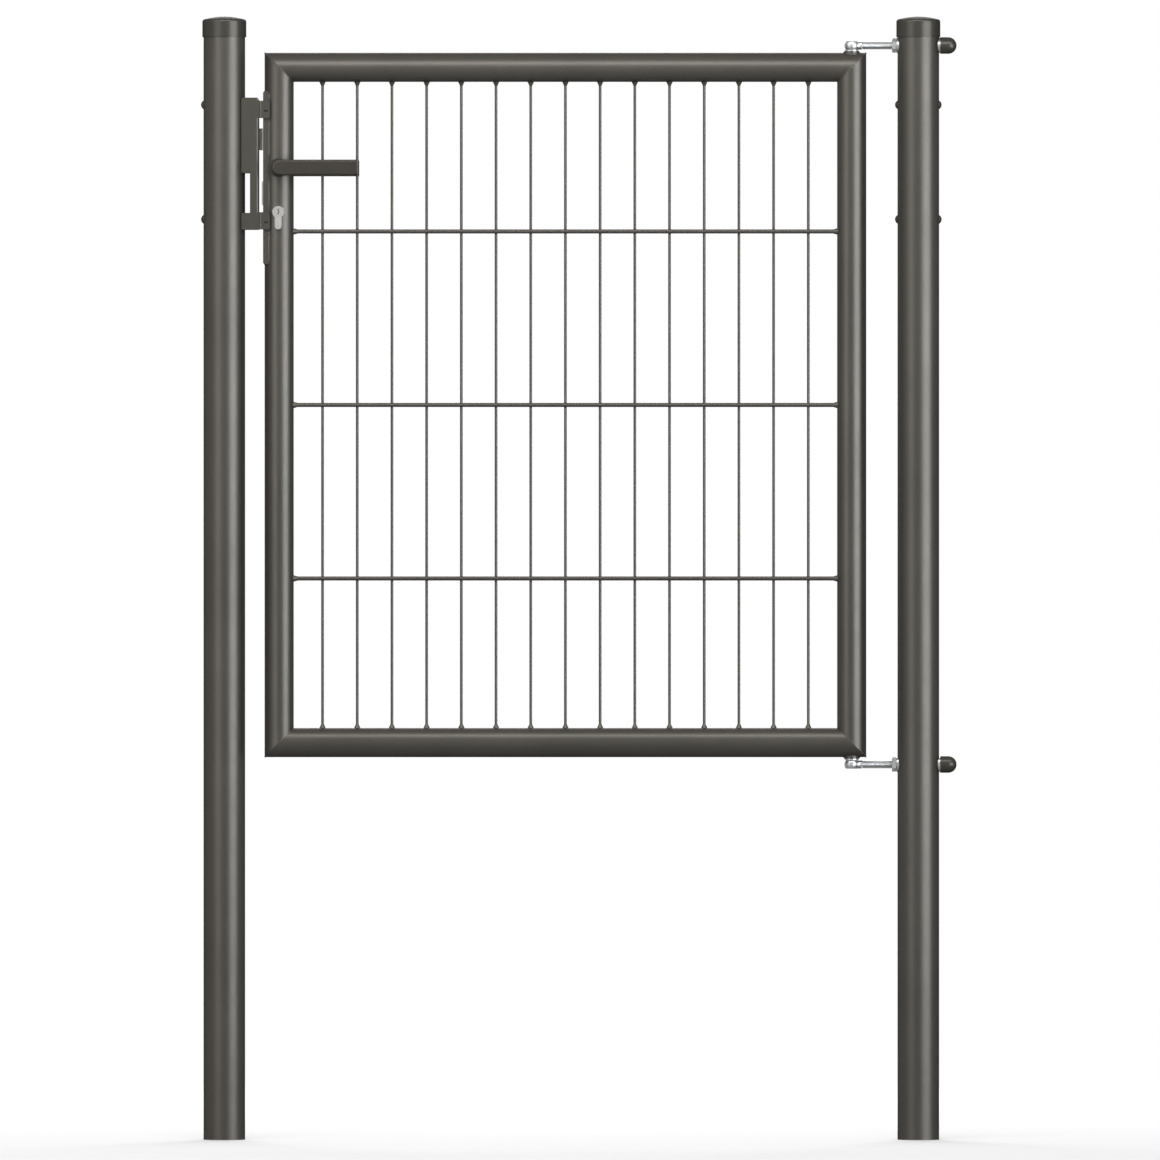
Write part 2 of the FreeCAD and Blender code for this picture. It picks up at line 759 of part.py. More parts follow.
def strike_plate():
    body = new_body("strike_channel")
    extrude(body, "Pad", channel_section(body), f"{STRIKE_TOP} - {STRIKE_LOW}")
    window_low = f"({STRIKE_LOW} + window_rise)"
    window = rectangle(
        new_sketch(body, "strike_window", "XZ_Plane"),
        f"{LEG_START} - {PAST}", f"{STRIKE_REACH} - window_land",
        window_low, f"{window_low} + window_height",
    )
    extrude(body, "Pocket", window, f"4 * {STRIKE_HALF}", "Symmetric")
    corner = outline(
        new_sketch(body, "strike_corner", "XZ_Plane"),
        (f"{STRIKE_REACH} - corner_wide", STRIKE_TOP),
        (STRIKE_REACH, f"{STRIKE_TOP} - corner_tall"),
        (f"{STRIKE_REACH} + {PAST}", f"{STRIKE_TOP} + {PAST}"),
    )
    extrude(body, "Pocket", corner, f"4 * {STRIKE_HALF}", "Symmetric")

    keeps = new_sketch(body, "strike_keeps", "YZ_Plane", f"{STRIKE_REACH} - strike_sheet / 2")
    for bolt, low in (("latch", LATCH_LOW), ("deadbolt", DEADBOLT_LOW)):
        rectangle(
            keeps, f"-{bolt}_thick / 2 - keep_play", f"{bolt}_thick / 2 + keep_play",
            f"{low} - keep_play", f"{low} + {bolt}_height + keep_play",
        )
    extrude(body, "Pocket", keeps, "2 * strike_sheet", "Symmetric")

    lug = rectangle(
        new_sketch(body, "stop_lug", "XY_Plane", STRIKE_LOW),
        f"{STRIKE_REACH} - strike_bend", LUG_REACH, f"-{STRIKE_HALF}", f"-{LUG_BACK}",
    )
    bead = circle(
        new_sketch(body, "lug_weld", "XY_Plane", STRIKE_LOW),
        "bead_radius", f"{STRIKE_REACH} + bead_radius", f"bead_radius / 2 - {STRIKE_HALF}",
    )
    slot_low = f"({STRIKE_LOW} + slot_rise)"
    slot = rectangle(
        new_sketch(body, "buffer_slot", "XZ_Plane", f"{STRIKE_HALF} - strike_sheet / 2"),
        SLOT_START, f"{SLOT_START} + slot_width", slot_low, f"{slot_low} + slot_height",
    )
    lug_features = [
        extrude(body, "Pad", lug, "lug_height"),
        extrude(body, "Pad", bead, "lug_height"),
        extrude(body, "Pocket", slot, "2 * strike_sheet", "Symmetric"),
    ]
    pattern(body, lug_features, "Z_Axis", f"{UPPER_LUG} - {STRIKE_LOW}", "2")

    sinks = []
    for level, z in FIXING_HEIGHTS.items():
        sinks.append(cone(
            f"{level}_screw_sink", "screw_head_od / 2", "screw_od / 2",
            "(screw_head_od - screw_od) / 2", STRIKE_REACH, 0, z, "-X",
        ))
        sinks.append(cylinder(
            f"{level}_screw_hole", "screw_od / 2 + screw_play", f"strike_sheet + 2 * {PAST}",
            f"{STRIKE_REACH} - strike_sheet - {PAST}", 0, z, "X",
        ))
    return piece(moved(cut("strike_plate", body, *sinks), LOCK_POST), "strike_plate")


def channel_section(body):
    """The channel's section: a web with a leg folded back from each side to the post."""
    web, half, bend = STRIKE_REACH, STRIKE_HALF, "strike_bend"
    inner = "(strike_sheet - strike_bend)"
    return outline(
        new_sketch(body, "channel_section", "XY_Plane", STRIKE_LOW),
        (LEG_START, f"-{half}"),
        (f"{web} - {bend}", f"-{half}", bend),
        (web, f"{bend} - {half}"),
        (web, f"{half} - {bend}", bend),
        (f"{web} - {bend}", half),
        (LEG_START, half),
        (LEG_START, f"{half} - strike_sheet"),
        (f"{web} - {bend}", f"{half} - strike_sheet", inner),
        (f"{web} - strike_sheet", f"{half} - {bend}"),
        (f"{web} - strike_sheet", f"{bend} - {half}", inner),
        (f"{web} - {bend}", f"strike_sheet - {half}"),
        (LEG_START, f"strike_sheet - {half}"),
    )


def strike_screw(level, z):
    """A countersunk screw from the strike's face into the sleeve nut in the post's far wall."""
    name = f"{level}_strike_screw"
    sink = "((screw_head_od - screw_od) / 2)"
    head = cone(f"{name}_head", "screw_head_od / 2", "screw_od / 2", sink, STRIKE_FACE, 0, z, "-X")
    length = f"{STRIKE_REACH} + {POST_R} - 2 * post_wall"
    shank = cylinder(f"{name}_shank", "screw_od / 2", length, STRIKE_FACE, 0, z, "-X")
    socket = prism(f"{name}_socket", "screw_socket", "screw_socket_depth", STRIKE_FACE, 0, z, "-X")
    return cut(name, fuse(f"{name}_blank", head, shank), socket)


def stop_buffer(level, low):
    """A rubber pad behind a lug, held by a tab in the lug's slot."""
    name = f"{level}_stop_buffer"
    start = f"({BOX_FACE} + buffer_inset / 2)"
    end = f"({LOCK_POST} + {LUG_REACH} - buffer_inset)"
    pad = box(
        f"{name}_pad", f"{end} - {start}", "buffer_thick", "lug_height - 2 * buffer_inset",
        start, f"-{LUG_BACK}", f"{low} + buffer_inset",
    )
    tab = box(
        f"{name}_tab", "slot_width - 2 * tab_play", "strike_sheet - tab_sunk + buffer_thick / 2",
        "slot_height - 2 * tab_play",
        f"{LOCK_POST} + {SLOT_START} + tab_play", f"tab_sunk - {STRIKE_HALF}",
        f"{low} + slot_rise + tab_play",
    )
    return piece(fuse(name, pad, tab), name)


strike_plate()
group("strike_screws", *(strike_screw(level, z) for level, z in FIXING_HEIGHTS.items()))
stop_buffer("lower", STRIKE_LOW)
stop_buffer("upper", UPPER_LUG)


# The lock in its box in the lock stile

def cylinder_outline(sketch, grow):
    """The outline of the key cylinder: a round head on a round-ended stem."""
    head = f"(cylinder_od / 2 + {grow})"
    stem = f"(cylinder_stem / 2 + {grow})"
    low = f"(-cylinder_fall - {grow})"
    neck = f"(-sqrt({head} * {head} - {stem} * {stem}))"
    return outline(
        sketch,
        (stem, neck, head), ("0", head, head), (f"-{stem}", neck),
        (f"-{stem}", f"{low} + {stem}", stem), ("0", low, stem), (stem, f"{low} + {stem}"),
    )


def cylinder_bar(name, grow, length):
    body = new_body(name)
    profile = cylinder_outline(new_sketch(body, f"{name}_outline", "XZ_Plane"), grow)
    extrude(body, "Pad", profile, length, "Symmetric")
    return moved(body, LOCK_AXIS, 0, CYLINDER_Z)


def cylinder_hole(name):
    return cylinder_bar(f"{name}_cylinder_hole", "cylinder_play", "2 * frame_od")


def lever_hole(name, radius):
    """A hole right through the leaf on the levers' axis."""
    return cylinder(name, radius, "2 * frame_od", LOCK_AXIS, "-frame_od", LEVER_Z, "Y")


def across_box(name, start, depth, half, low, high):
    """A block centred on the frame's plane."""
    return box(name, depth, f"2 * ({half})", f"{high} - {low}", start, f"-({half})", low)


def box_space(name):
    """The block that the lock's box fills."""
    return across_box(name, BOX_FACE, BOX_DEPTH, "box_half", BOX_LOW, BOX_TOP)


def lock_box():
    """A welded box with rounded outer corners, open at its face, with a tab for each forend screw."""
    body = new_body("lock_box_rounded")
    low, high, face, back = BOX_LOW, BOX_TOP, f"(-{BOX_REACH})", f"({BOX_DEPTH} - {BOX_REACH})"
    side = outline(
        new_sketch(body, "lock_box_side", "XZ_Plane"),
        (f"{face} + box_round", low), (back, low), (back, high),
        (f"{face} + box_round", high, "box_round"), (face, f"{high} - box_round"),
        (face, f"{low} + box_round", "box_round"),
    )
    extrude(body, "Pad", side, "2 * box_half", "Symmetric")
    mouth = across_box(
        "lock_box_mouth", f"{BOX_FACE} - {PAST}", f"{BOX_DEPTH} + 2 * {PAST}", "box_half - box_wall",
        f"({BOX_LOW} + box_wall)", f"({BOX_TOP} - box_wall)",
    )
    sleeve = cut("lock_box_sleeve", moved(body, LOCK_STILE), mouth)
    tab_start = f"{BOX_FACE} + forend_thick"
    half = "box_half - box_wall / 2"
    inside_low, inside_top = f"({BOX_LOW} + box_wall)", f"({BOX_TOP} - box_wall)"
    tabs = [
        across_box(
            "lower_forend_tab", tab_start, "forend_thick", half,
            f"({inside_low} - box_wall / 2)", f"({inside_low} + box_tab)",
        ),
        across_box(
            "upper_forend_tab", tab_start, "forend_thick", half,
            f"({inside_top} - box_tab)", f"({inside_top} + box_wall / 2)",
        ),
    ]
    holes = [lever_hole("box_lever_hole", NECK_HOLE_R), cylinder_hole("box")]
    holes += [forend_screw_hole(f"{level}_box_screw_hole", z) for level, z in FOREND_SCREWS.items()]
    return piece(cut("lock_box", fuse("lock_box_blank", sleeve, *tabs), *holes), "lock_box")


def forend_screw_hole(name, z):
    depth = f"2 * forend_thick + 2 * {PAST}"
    return cylinder(name, "forend_screw_od / 2", depth, f"{BOX_FACE} - {PAST}", 0, z, "X")


def bolt_spaces(name):
    """The room that the latch and the deadbolt slide in."""
    bolts = (
        ("latch", LATCH_LOW, "latch_length"),
        ("deadbolt", DEADBOLT_LOW, "deadbolt_length - deadbolt_out"),
    )
    return [
        across_box(
            f"{name}_{bolt}_space", f"{BOX_FACE} - {PAST}", f"{depth} + bolt_room + {PAST}",
            f"{bolt}_thick / 2 + bolt_play",
            f"({low} - bolt_play)", f"({low} + {bolt}_height + bolt_play)",
        )
        for bolt, low, depth in bolts
    ]


def forend_plate():
    """The plate that closes the box, with the bolts' openings and two countersunk screw holes."""
    half = "box_half - box_wall - forend_play"
    blank = across_box("forend_blank", BOX_FACE, "forend_thick", half, FOREND_LOW, FOREND_TOP)
    tools = bolt_spaces("forend")
    for level, z in FOREND_SCREWS.items():
        tools.append(forend_screw_hole(f"{level}_forend_screw_hole", z))
        tools.append(forend_screw_cone(f"{level}_forend_sink", z))
    return piece(cut("forend_plate", blank, *tools), "forend_plate")


def forend_screw_cone(name, z):
    radius = "forend_screw_od / 2"
    return cone(name, f"2 * {radius}", radius, radius, BOX_FACE, 0, z, "X")


def forend_screw(level, z):
    name = f"{level}_forend_screw"
    shank = cylinder(
        f"{name}_shank", "forend_screw_od / 2", "2 * forend_thick", BOX_FACE, 0, z, "X",
    )
    blank = fuse(f"{name}_blank", forend_screw_cone(f"{name}_head", z), shank)
    socket = prism(f"{name}_socket", "forend_socket", "forend_socket_depth", BOX_FACE, 0, z, "X")
    return cut(name, blank, socket)


def lock_case():
    """The mortise lock's closed case, with the room for all that moves in it."""
    block = across_box(
        "lock_case_block", f"{BOX_FACE} + forend_thick", f"{BOX_DEPTH} - forend_thick - case_play",
        "case_half", CASE_LOW, CASE_TOP,
    )
    follower_room = lever_hole("case_follower_hole", "follower_od / 2 + follower_play")
    tools = [*bolt_spaces("case"), follower_room, cylinder_hole("case")]
    return piece(cut("lock_case", block, *tools), "lock_case")


def latch_bolt():
    """A sprung latch, bevelled on the side that meets the strike when the leaf closes."""
    body = new_body("latch_body")
    half = "(latch_thick / 2)"
    section = outline(
        new_sketch(body, "latch_section", "XY_Plane", LATCH_LOW),
        ("-latch_out", half), ("-latch_out", f"{half} - latch_nose"), ("-latch_root", f"-{half}"),
        ("latch_length - latch_out", f"-{half}"), ("latch_length - latch_out", half),
    )
    extrude(body, "Pad", section, "latch_height")
    return piece(moved(body, BOX_FACE), "latch_bolt")


def deadbolt():
    top = f"({DEADBOLT_LOW} + deadbolt_height)"
    block = across_box(
        "deadbolt", f"{BOX_FACE} - deadbolt_out", "deadbolt_length", "deadbolt_thick / 2",
        DEADBOLT_LOW, top,
    )
    return piece(block, "deadbolt")


def key_cylinder():
    bar = cylinder_bar("profile_cylinder_bar", "0", "frame_od + 2 * cylinder_stand")
    bore = cylinder(
        "profile_cylinder_bore", "core_od / 2 + core_play", "2 * (frame_od + 2 * cylinder_stand)",
        LOCK_AXIS, "-(frame_od + 2 * cylinder_stand)", CYLINDER_Z, "Y",
    )
    return piece(cut("profile_cylinder", bar, bore), "profile_cylinder")


def keyway(side, half):
    """A jogged slot for a flat key, cut into one end of the cylinder's plug."""
    front = side == "front"
    body = new_body(f"{side}_keyway")
    floor = f"({half} - keyway_deep)"
    sketch = new_sketch(body, f"{side}_keyway_outline", "XZ_Plane", floor if front else f"-{floor}")
    top = "(keyway_rise + keyway_tall / 2)"
    steps = (("0", 0), ("0", 3), ("keyway_jog", 4), ("keyway_jog", 5), ("0", 6), ("0", 8))
    way = [(x, f"{top} - keyway_tall * {step} / 8") for x, step in steps]
    right = [(f"{x} + keyway_wide / 2", z) for x, z in way]
    left = [(f"{x} - keyway_wide / 2", z) for x, z in reversed(way)]
    slot = outline(sketch, *right, *left)
    extrude(body, "Pad", slot, f"keyway_deep + {PAST}", reverse=not front)
    return moved(body, LOCK_AXIS, 0, CYLINDER_Z)


def cylinder_plug():
    half = "(frame_od / 2 + cylinder_stand - core_sunk)"
    core = cylinder("core_blank", "core_od / 2", f"2 * {half}", LOCK_AXIS, f"-{half}", CYLINDER_Z, "Y")
    slots = (keyway("front", half), keyway("back", half))
    return piece(cut("cylinder_plug", core, *slots), "cylinder_plug")


pocket = box_space("box_pocket")
stile_lever_hole = lever_hole("stile_lever_hole", NECK_HOLE_R)
stile("lock_stile", LOCK_STILE, True, pocket, stile_lever_hole, cylinder_hole("stile"))
lock_box()
forend_plate()
group("forend_screws", *(forend_screw(level, z) for level, z in FOREND_SCREWS.items()))
lock_case()
latch_bolt()
deadbolt()
key_cylinder()
cylinder_plug()


# The levers

def rose(side, sign, along):
    """A low ring on the stile, in which the lever's neck turns."""
    name = f"{side}_rose"
    depth = "(rose_stand + rose_od / 4)"
    start = f"{sign}({FRAME_R} + rose_stand - {depth})"
    ring = cylinder(f"{name}_ring", "rose_od / 2", depth, LOCK_AXIS, start, LEVER_Z, along)
    tube = cylinder(f"{name}_stile", FRAME_R, "2 * rose_od", LOCK_STILE, 0, f"{LEVER_Z} - rose_od")
    bore = lever_hole(f"{name}_bore", NECK_HOLE_R)
    return piece(cut(name, ring, tube, box_space(f"{name}_box"), bore), name)


def handle_bar(name, front):
    """A flat bar with one round end and softened edges, softest on the side away from the stile."""
    body = new_body(f"{name}_bar")
    low, high, curve = "(-lever_tall / 2)", "(lever_tall / 2)", "lever_corner"
    sketch = new_sketch(body, f"{name}_outline", "XZ_Plane", LEVER_GAP if front else f"-{LEVER_GAP}")
    outline(
        sketch,
        ("lever_front", low), ("lever_front", high), (f"{curve} - lever_back", high, curve),
        ("-lever_back", f"{high} - {curve}"), ("-lever_back", f"{low} + {curve}", curve),
        (f"{curve} - lever_back", low),
    )
    bar = extrude(body, "Pad", sketch, "lever_thick", reverse=not front)
    doc.recompute()
    far = value(f"{LEVER_GAP} + lever_thick")
    near = value(LEVER_GAP)
    outer = soften(body, bar, edges_at(bar, far), "lever_round")
    soften(body, outer, edges_at(outer, near), "lever_back_round")
    return moved(body, LOCK_AXIS, 0, LEVER_Z)


def edges_at(feature, distance):
    """The names of the edges that lie in a plane at this distance from the frame's plane."""
    names = []
    for number, edge in enumerate(feature.Shape.Edges, start=1):
        if all(abs(abs(vertex.Y) - distance) < TINY for vertex in edge.Vertexes):
            names.append(f"Edge{number}")
    return names


def soften(body, base, edges, radius):
    feature = body.newObject("PartDesign::Fillet", f"{base.Name}_soft")
    feature.Base = (base, edges)
    bind(feature, Radius=radius)
    body.Tip = feature
    doc.recompute()
    return feature


def lever(side, sign, along):
    """A handle bar on a round neck that flares into it, with a square socket for the spindle."""
    name = f"{side}_lever"
    neck = cylinder(
        f"{name}_neck", "neck_od / 2", f"{LEVER_GAP} - case_half - neck_end + {PAST}",
        LOCK_AXIS, f"{sign}(case_half + neck_end)", LEVER_Z, along,
    )
    flare = cone(
        f"{name}_flare", "neck_od / 2", "neck_od / 2 + neck_flare", "neck_flare",
        LOCK_AXIS, f"{sign}({LEVER_GAP} - neck_flare)", LEVER_Z, along,
    )
    blank = fuse(f"{name}_blank", handle_bar(name, side == "front"), neck, flare)
    return piece(cut(name, blank, square_bar(f"{name}_socket", SPINDLE_HOLE, "spindle_play")), name)


def square_bar(name, side, longer):
    """A square bar along the levers' axis, which ends inside both handle bars."""
    half = f"({LEVER_GAP} + spindle_bite + {longer})"
    start = f"{LOCK_AXIS} - {side} / 2"
    return box(name, side, f"2 * {half}", side, start, f"-{half}", f"{LEVER_Z} - {side} / 2")


def follower():
    """The round part of the lock that the spindle turns to draw the latch back."""
    blank = cylinder(
        "follower_blank", "follower_od / 2", "2 * case_half", LOCK_AXIS, "-case_half", LEVER_Z, "Y",
    )
    socket = square_bar("follower_socket", SPINDLE_HOLE, "0")
    return piece(cut("follower", blank, socket), "follower")


for side, sign, along in (("front", "-", "-Y"), ("back", "", "Y")):
    rose(side, sign, along)
    lever(side, sign, along)
piece(square_bar("spindle", "spindle_side", "0"), "spindle")
follower()


# Everything is checked before anything is written

def check(things):
    doc.recompute()
    for thing in doc.Objects:
        if "Invalid" in thing.State or "Error" in thing.State:
            raise RuntimeError(f"{thing.Label}: {thing.State} {thing.getStatusString()}")
    for thing in things:
        shape = thing.Shape
        if shape.isNull() or not shape.isValid() or not shape.Solids:
            raise RuntimeError(f"{thing.Label} has no valid solid")


check(pieces)
os.makedirs("parts", exist_ok=True)
for thing in pieces:
    thing.Shape.exportStep(f"parts/{thing.Label}.step")
    print(thing.Label, len(thing.Shape.Solids), round(thing.Shape.Volume))
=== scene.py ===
import json
import math

import bmesh
import bpy
from mathutils import Matrix, Vector, noise


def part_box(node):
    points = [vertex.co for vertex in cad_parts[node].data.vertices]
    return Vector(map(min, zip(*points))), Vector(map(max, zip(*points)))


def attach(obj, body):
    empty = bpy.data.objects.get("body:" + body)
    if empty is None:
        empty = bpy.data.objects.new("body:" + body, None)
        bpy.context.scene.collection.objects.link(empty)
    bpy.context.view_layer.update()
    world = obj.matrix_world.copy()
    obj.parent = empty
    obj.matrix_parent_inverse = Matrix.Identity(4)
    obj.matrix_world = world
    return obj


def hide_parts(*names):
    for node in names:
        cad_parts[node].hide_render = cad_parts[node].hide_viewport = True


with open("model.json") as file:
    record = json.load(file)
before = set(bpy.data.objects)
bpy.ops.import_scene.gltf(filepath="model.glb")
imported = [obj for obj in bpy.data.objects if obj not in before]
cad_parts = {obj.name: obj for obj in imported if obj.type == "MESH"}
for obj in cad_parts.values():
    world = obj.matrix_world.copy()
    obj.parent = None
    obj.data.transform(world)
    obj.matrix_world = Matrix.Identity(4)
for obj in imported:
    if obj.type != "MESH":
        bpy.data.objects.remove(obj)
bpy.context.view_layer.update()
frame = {"nodes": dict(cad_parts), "record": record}

# The photo's middle and the width that it shows there, in metres, as every size here is
PHOTO_CENTRE = Vector((-0.4875, 0.0, 0.8063))
PHOTO_WIDTH = 1.6715

# The camera, with a long lens: its sensor is in millimetres
CAMERA_DISTANCE = 30.0
CAMERA_SENSOR = 36.0
CAMERA_REACH = 200.0

# The floor, and the radius round the gate's middle that keeps the shadow before it fades to white
FLOOR_SIDE = 7.0
SHADOW_REACH = 1.2

# Beads of weld metal along a seam
BEAD_SIDES = 8
BEAD_STEP = 0.0006
RIPPLE_PITCH = 0.0022
RIPPLE = 0.14
MITRE_BEAD = 0.0009
MITRE_SUNK = 0.0005
FLANGE_BEAD = 0.0012
BOX_BEAD = 0.0010
STITCH_MARGIN = 0.005

# How much longer the ellipse round a mitre is than the circle round its tube
MITRE_STRETCH = 1.2

# Nuggets where wires and bars cross, with their shape along each axis and how rough they are
NUGGET = 0.0026
NUGGET_SHAPE = (1.0, 0.45, 1.25)
NUGGET_ROUGH = 0.0002
NUGGET_LUMPS = 900.0

# Cones of weld metal round the ends of wires and bars
CONE_HEIGHT = 0.0061
CONE_FOOT = 0.0047
CONE_FLARE = 1.1
CONE_ROWS = 5
CONE_SIDES = 12
CONE_ROUGH = 0.00025
CONE_LUMPS = 700.0

# Start of the random lumps on nuggets and cones, which Blender otherwise takes from the clock
ROUGH_SEED = 7

# Where the wire panel's own mesh is read: just inside the frame, one thin ring of points to a wire
NEAR_FRAME = 0.02
RING_DEPTH = 0.00001
WIRE_GAP = 0.01

# Thread of the hinge bolts: a flank and the crest as shares of its pitch
PITCH = 0.00175
THREAD_DEPTH = 0.00105
FLANK = 3 / 8
CREST = 1 / 8
THREAD_STEPS = 20
PLAIN_NECK = 0.004

# Painted shade inside a keyway: a dark bar a little below the plug's face
KEYWAY_WIDE = 0.0015
KEYWAY_TALL = 0.0080
KEYWAY_JOG = 0.0012
KEYWAY_RISE = 0.0005
KEYWAY_SUNK = 0.0005
KEYWAY_DEEP = 0.012

# Corners down one side of a keyway: how much of the jog each takes, and its share of the way down
KEYWAY_CORNERS = ((0, 0.0), (0, 3 / 8), (1, 4 / 8), (1, 5 / 8), (0, 6 / 8), (0, 1.0))

# Points closer than this become one, and edges that turn by more than these degrees stay sharp
MERGE = 1e-6
SHARP = 35.0
SHARP_ROUGH = 60.0
SHARP_THREAD = 30.0

# Folded sheet, whose coat came out flatter than on the tubes, and which takes a darker copy of the coat as
# painted shade
SHEET_PARTS = ("strike_plate", "lock_box")

# Share of a coat or plastic that shines as its metal flakes do
TUBE_SHEEN = 0.24
LEVER_SHEEN = 0.14
CAP_SHEEN = 0.19

# Mottling of a coat's colour and of the caps' plastic, as a share of their brightness
COAT_MOTTLE = 0.07
CAP_MOTTLE = 0.04

# Grain of the finishes, in lumps to a metre
COAT_CLOUDS = 7.0
COAT_PATCHES = 45.0
COAT_PEEL = 620.0
COAT_FLECKS = 1900.0
COAT_SAND = 2600.0
CAP_CLOUDS = 60.0
CAP_PATCHES = 220.0
CAP_GRAIN = 1500.0
ZINC_CLOUDS = 260.0
STEEL_SMUDGES = 90.0
RUBBER_DUST = 160.0
RUBBER_PORES = 1200.0

# Grain drawn out into lines, in lumps to a metre along each axis
LATHE_LINES = (3200.0, 60.0, 60.0)
BRUSHED_ALONG = (30.0, 900.0, 900.0)
BRUSHED_THROUGH = (900.0, 30.0, 900.0)
BRUSHED_UP = (900.0, 900.0, 14.0)

# Sockets of the mixing node that hold the share, the two colours and the mixed colour
MIX_SHARE = 0
MIX_FIRST = 6
MIX_SECOND = 7
MIX_RESULT = 2

WHITE = (1.0, 1.0, 1.0, 1.0)
FAINT_EDGE = (0.02, 0.02, 0.02, 1.0)
PLAIN_LIGHT = (1.0, 1.0, 1.0)
COOL_LIGHT = (0.89, 0.945, 1.0)


def linear(red, green, blue):
    """A colour given as it shows on a screen, from 0 to 255, as the light that it stands for."""
    shares = [value / 255 for value in (red, green, blue)]
    light = [s / 12.92 if s <= 0.04045 else ((s + 0.055) / 1.055) ** 2.4 for s in shares]
    return (*light, 1.0)


def brightened(colour, share):
    """A colour with its brightness multiplied by a share."""
    return tuple(share * part for part in colour[:3]) + (1.0,)


def add_node(tree, kind, settings=None, inputs=None):
    """A new node of a tree, with each input set to a value or linked to another node's socket."""
    made = tree.nodes.new(kind)
    for key, value in (settings or {}).items():
        setattr(made, key, value)
    for socket, value in (inputs or {}).items():
        if isinstance(value, bpy.types.NodeSocket):
            tree.links.new(value, made.inputs[socket])
        else:
            made.inputs[socket].default_value = value
    return made


class Finish:
    """A material on one Principled shader, with its nodes added one at a time."""

    def __init__(self, name, **shader_values):
        self.material = bpy.data.materials.new(name)
        self.material.use_nodes = True
        self.tree = self.material.node_tree
        self.shader = self.tree.nodes["Principled BSDF"]
        for socket, value in shader_values.items():
            self.shader.inputs[socket.replace("_", " ")].default_value = value

    def place(self, stretch=(1.0, 1.0, 1.0)):
        """Object coordinates, squeezed along each axis by stretch."""
        where = add_node(self.tree, "ShaderNodeTexCoord").outputs["Object"]
        squeezed = add_node(self.tree, "ShaderNodeMapping", inputs={"Vector": where, "Scale": stretch})
        return squeezed.outputs["Vector"]

    def grain(self, where, lumps, detail=2.0, roughness=0.5):
        """Noise from 0 to 1 with about so many lumps to a metre."""
        inputs = {"Vector": where, "Scale": lumps, "Detail": detail, "Roughness": roughness}
        return add_node(self.tree, "ShaderNodeTexNoise", inputs=inputs).outputs["Fac"]

    def lines(self, stretch, detail, roughness=0.5):
        """Noise drawn out into lines by its lumps to a metre along each axis."""
        return self.grain(self.place(stretch), 1.0, detail, roughness)

    def spread(self, value, start=0.0, end=1.0, low=0.0, high=1.0):
        """The value's part from start to end, as a number from low to high."""
        inputs = {"Value": value, "From Min": start, "From Max": end, "To Min": low, "To Max": high}
        return add_node(self.tree, "ShaderNodeMapRange", inputs=inputs).outputs["Result"]

    def blend(self, share, first, second):
        """Two colours mixed by a share."""
        inputs = {MIX_SHARE: share, MIX_FIRST: first, MIX_SECOND: second}
        return add_node(self.tree, "ShaderNodeMix", {"data_type": "RGBA"}, inputs).outputs[MIX_RESULT]

    def bump(self, height, depth, strength, under=None):
        """Normals that rise and fall with the height, on top of those under it."""
        inputs = {"Height": height, "Distance": depth, "Strength": strength}
        if under is not None:
            inputs["Normal"] = under
        return add_node(self.tree, "ShaderNodeBump", inputs=inputs).outputs["Normal"]

    def shade(self, **links):
        """Links what was made to the shader and gives the finished material."""
        for socket, value in links.items():
            self.tree.links.new(value, self.shader.inputs[socket.replace("_", " ")])
        return self.material


def powder_coat(name, colour, fleck_colour, roughness, peel, sheen):
    """Fine-textured powder coat with a metallic effect: slight mottling, tiny flecks and orange peel."""
    finish = Finish(
        name, Metallic=sheen, Specular_IOR_Level=0.0, Specular_Tint=FAINT_EDGE,
        Coat_Weight=0.10, Coat_Roughness=0.34,
    )
    where = finish.place()
    clouds = finish.spread(finish.grain(where, COAT_CLOUDS, detail=3.0), start=0.3, end=0.7)
    flecks = finish.spread(finish.grain(where, COAT_FLECKS, detail=1.0), start=0.60, end=0.72, high=0.55)
    body = finish.blend(clouds, brightened(colour, 1 - COAT_MOTTLE), brightened(colour, 1 + COAT_MOTTLE))
    coloured = finish.blend(flecks, body, fleck_colour)
    skin = finish.bump(finish.grain(where, COAT_PEEL, roughness=0.45), peel, strength=0.6)
    sanded = finish.bump(finish.grain(where, COAT_SAND, detail=1.0), 0.4 * peel, strength=0.5, under=skin)
    patches = finish.grain(where, COAT_PATCHES, detail=3.0)
    gloss = finish.spread(patches, start=0.3, end=0.7, low=roughness - 0.03, high=roughness + 0.03)
    return finish.shade(Base_Color=coloured, Roughness=gloss, Normal=sanded)


def moulded_plastic(name, colour, roughness):
    """Injection-moulded plastic with a fine spark-eroded grain."""
    finish = Finish(
        name, Metallic=CAP_SHEEN, Specular_IOR_Level=0.0, Specular_Tint=FAINT_EDGE,
        Coat_Weight=0.05, Coat_Roughness=0.24,
    )
    where = finish.place()
    clouds = finish.spread(finish.grain(where, CAP_CLOUDS, detail=3.0), start=0.35, end=0.65)
    coloured = finish.blend(clouds, brightened(colour, 1 - CAP_MOTTLE), colour)
    grain = finish.bump(finish.grain(where, CAP_GRAIN), depth=0.00003, strength=0.5)
    patches = finish.grain(where, CAP_PATCHES)
    gloss = finish.spread(patches, start=0.3, end=0.7, low=roughness - 0.02, high=roughness + 0.02)
    return finish.shade(Base_Color=coloured, Roughness=gloss, Normal=grain)


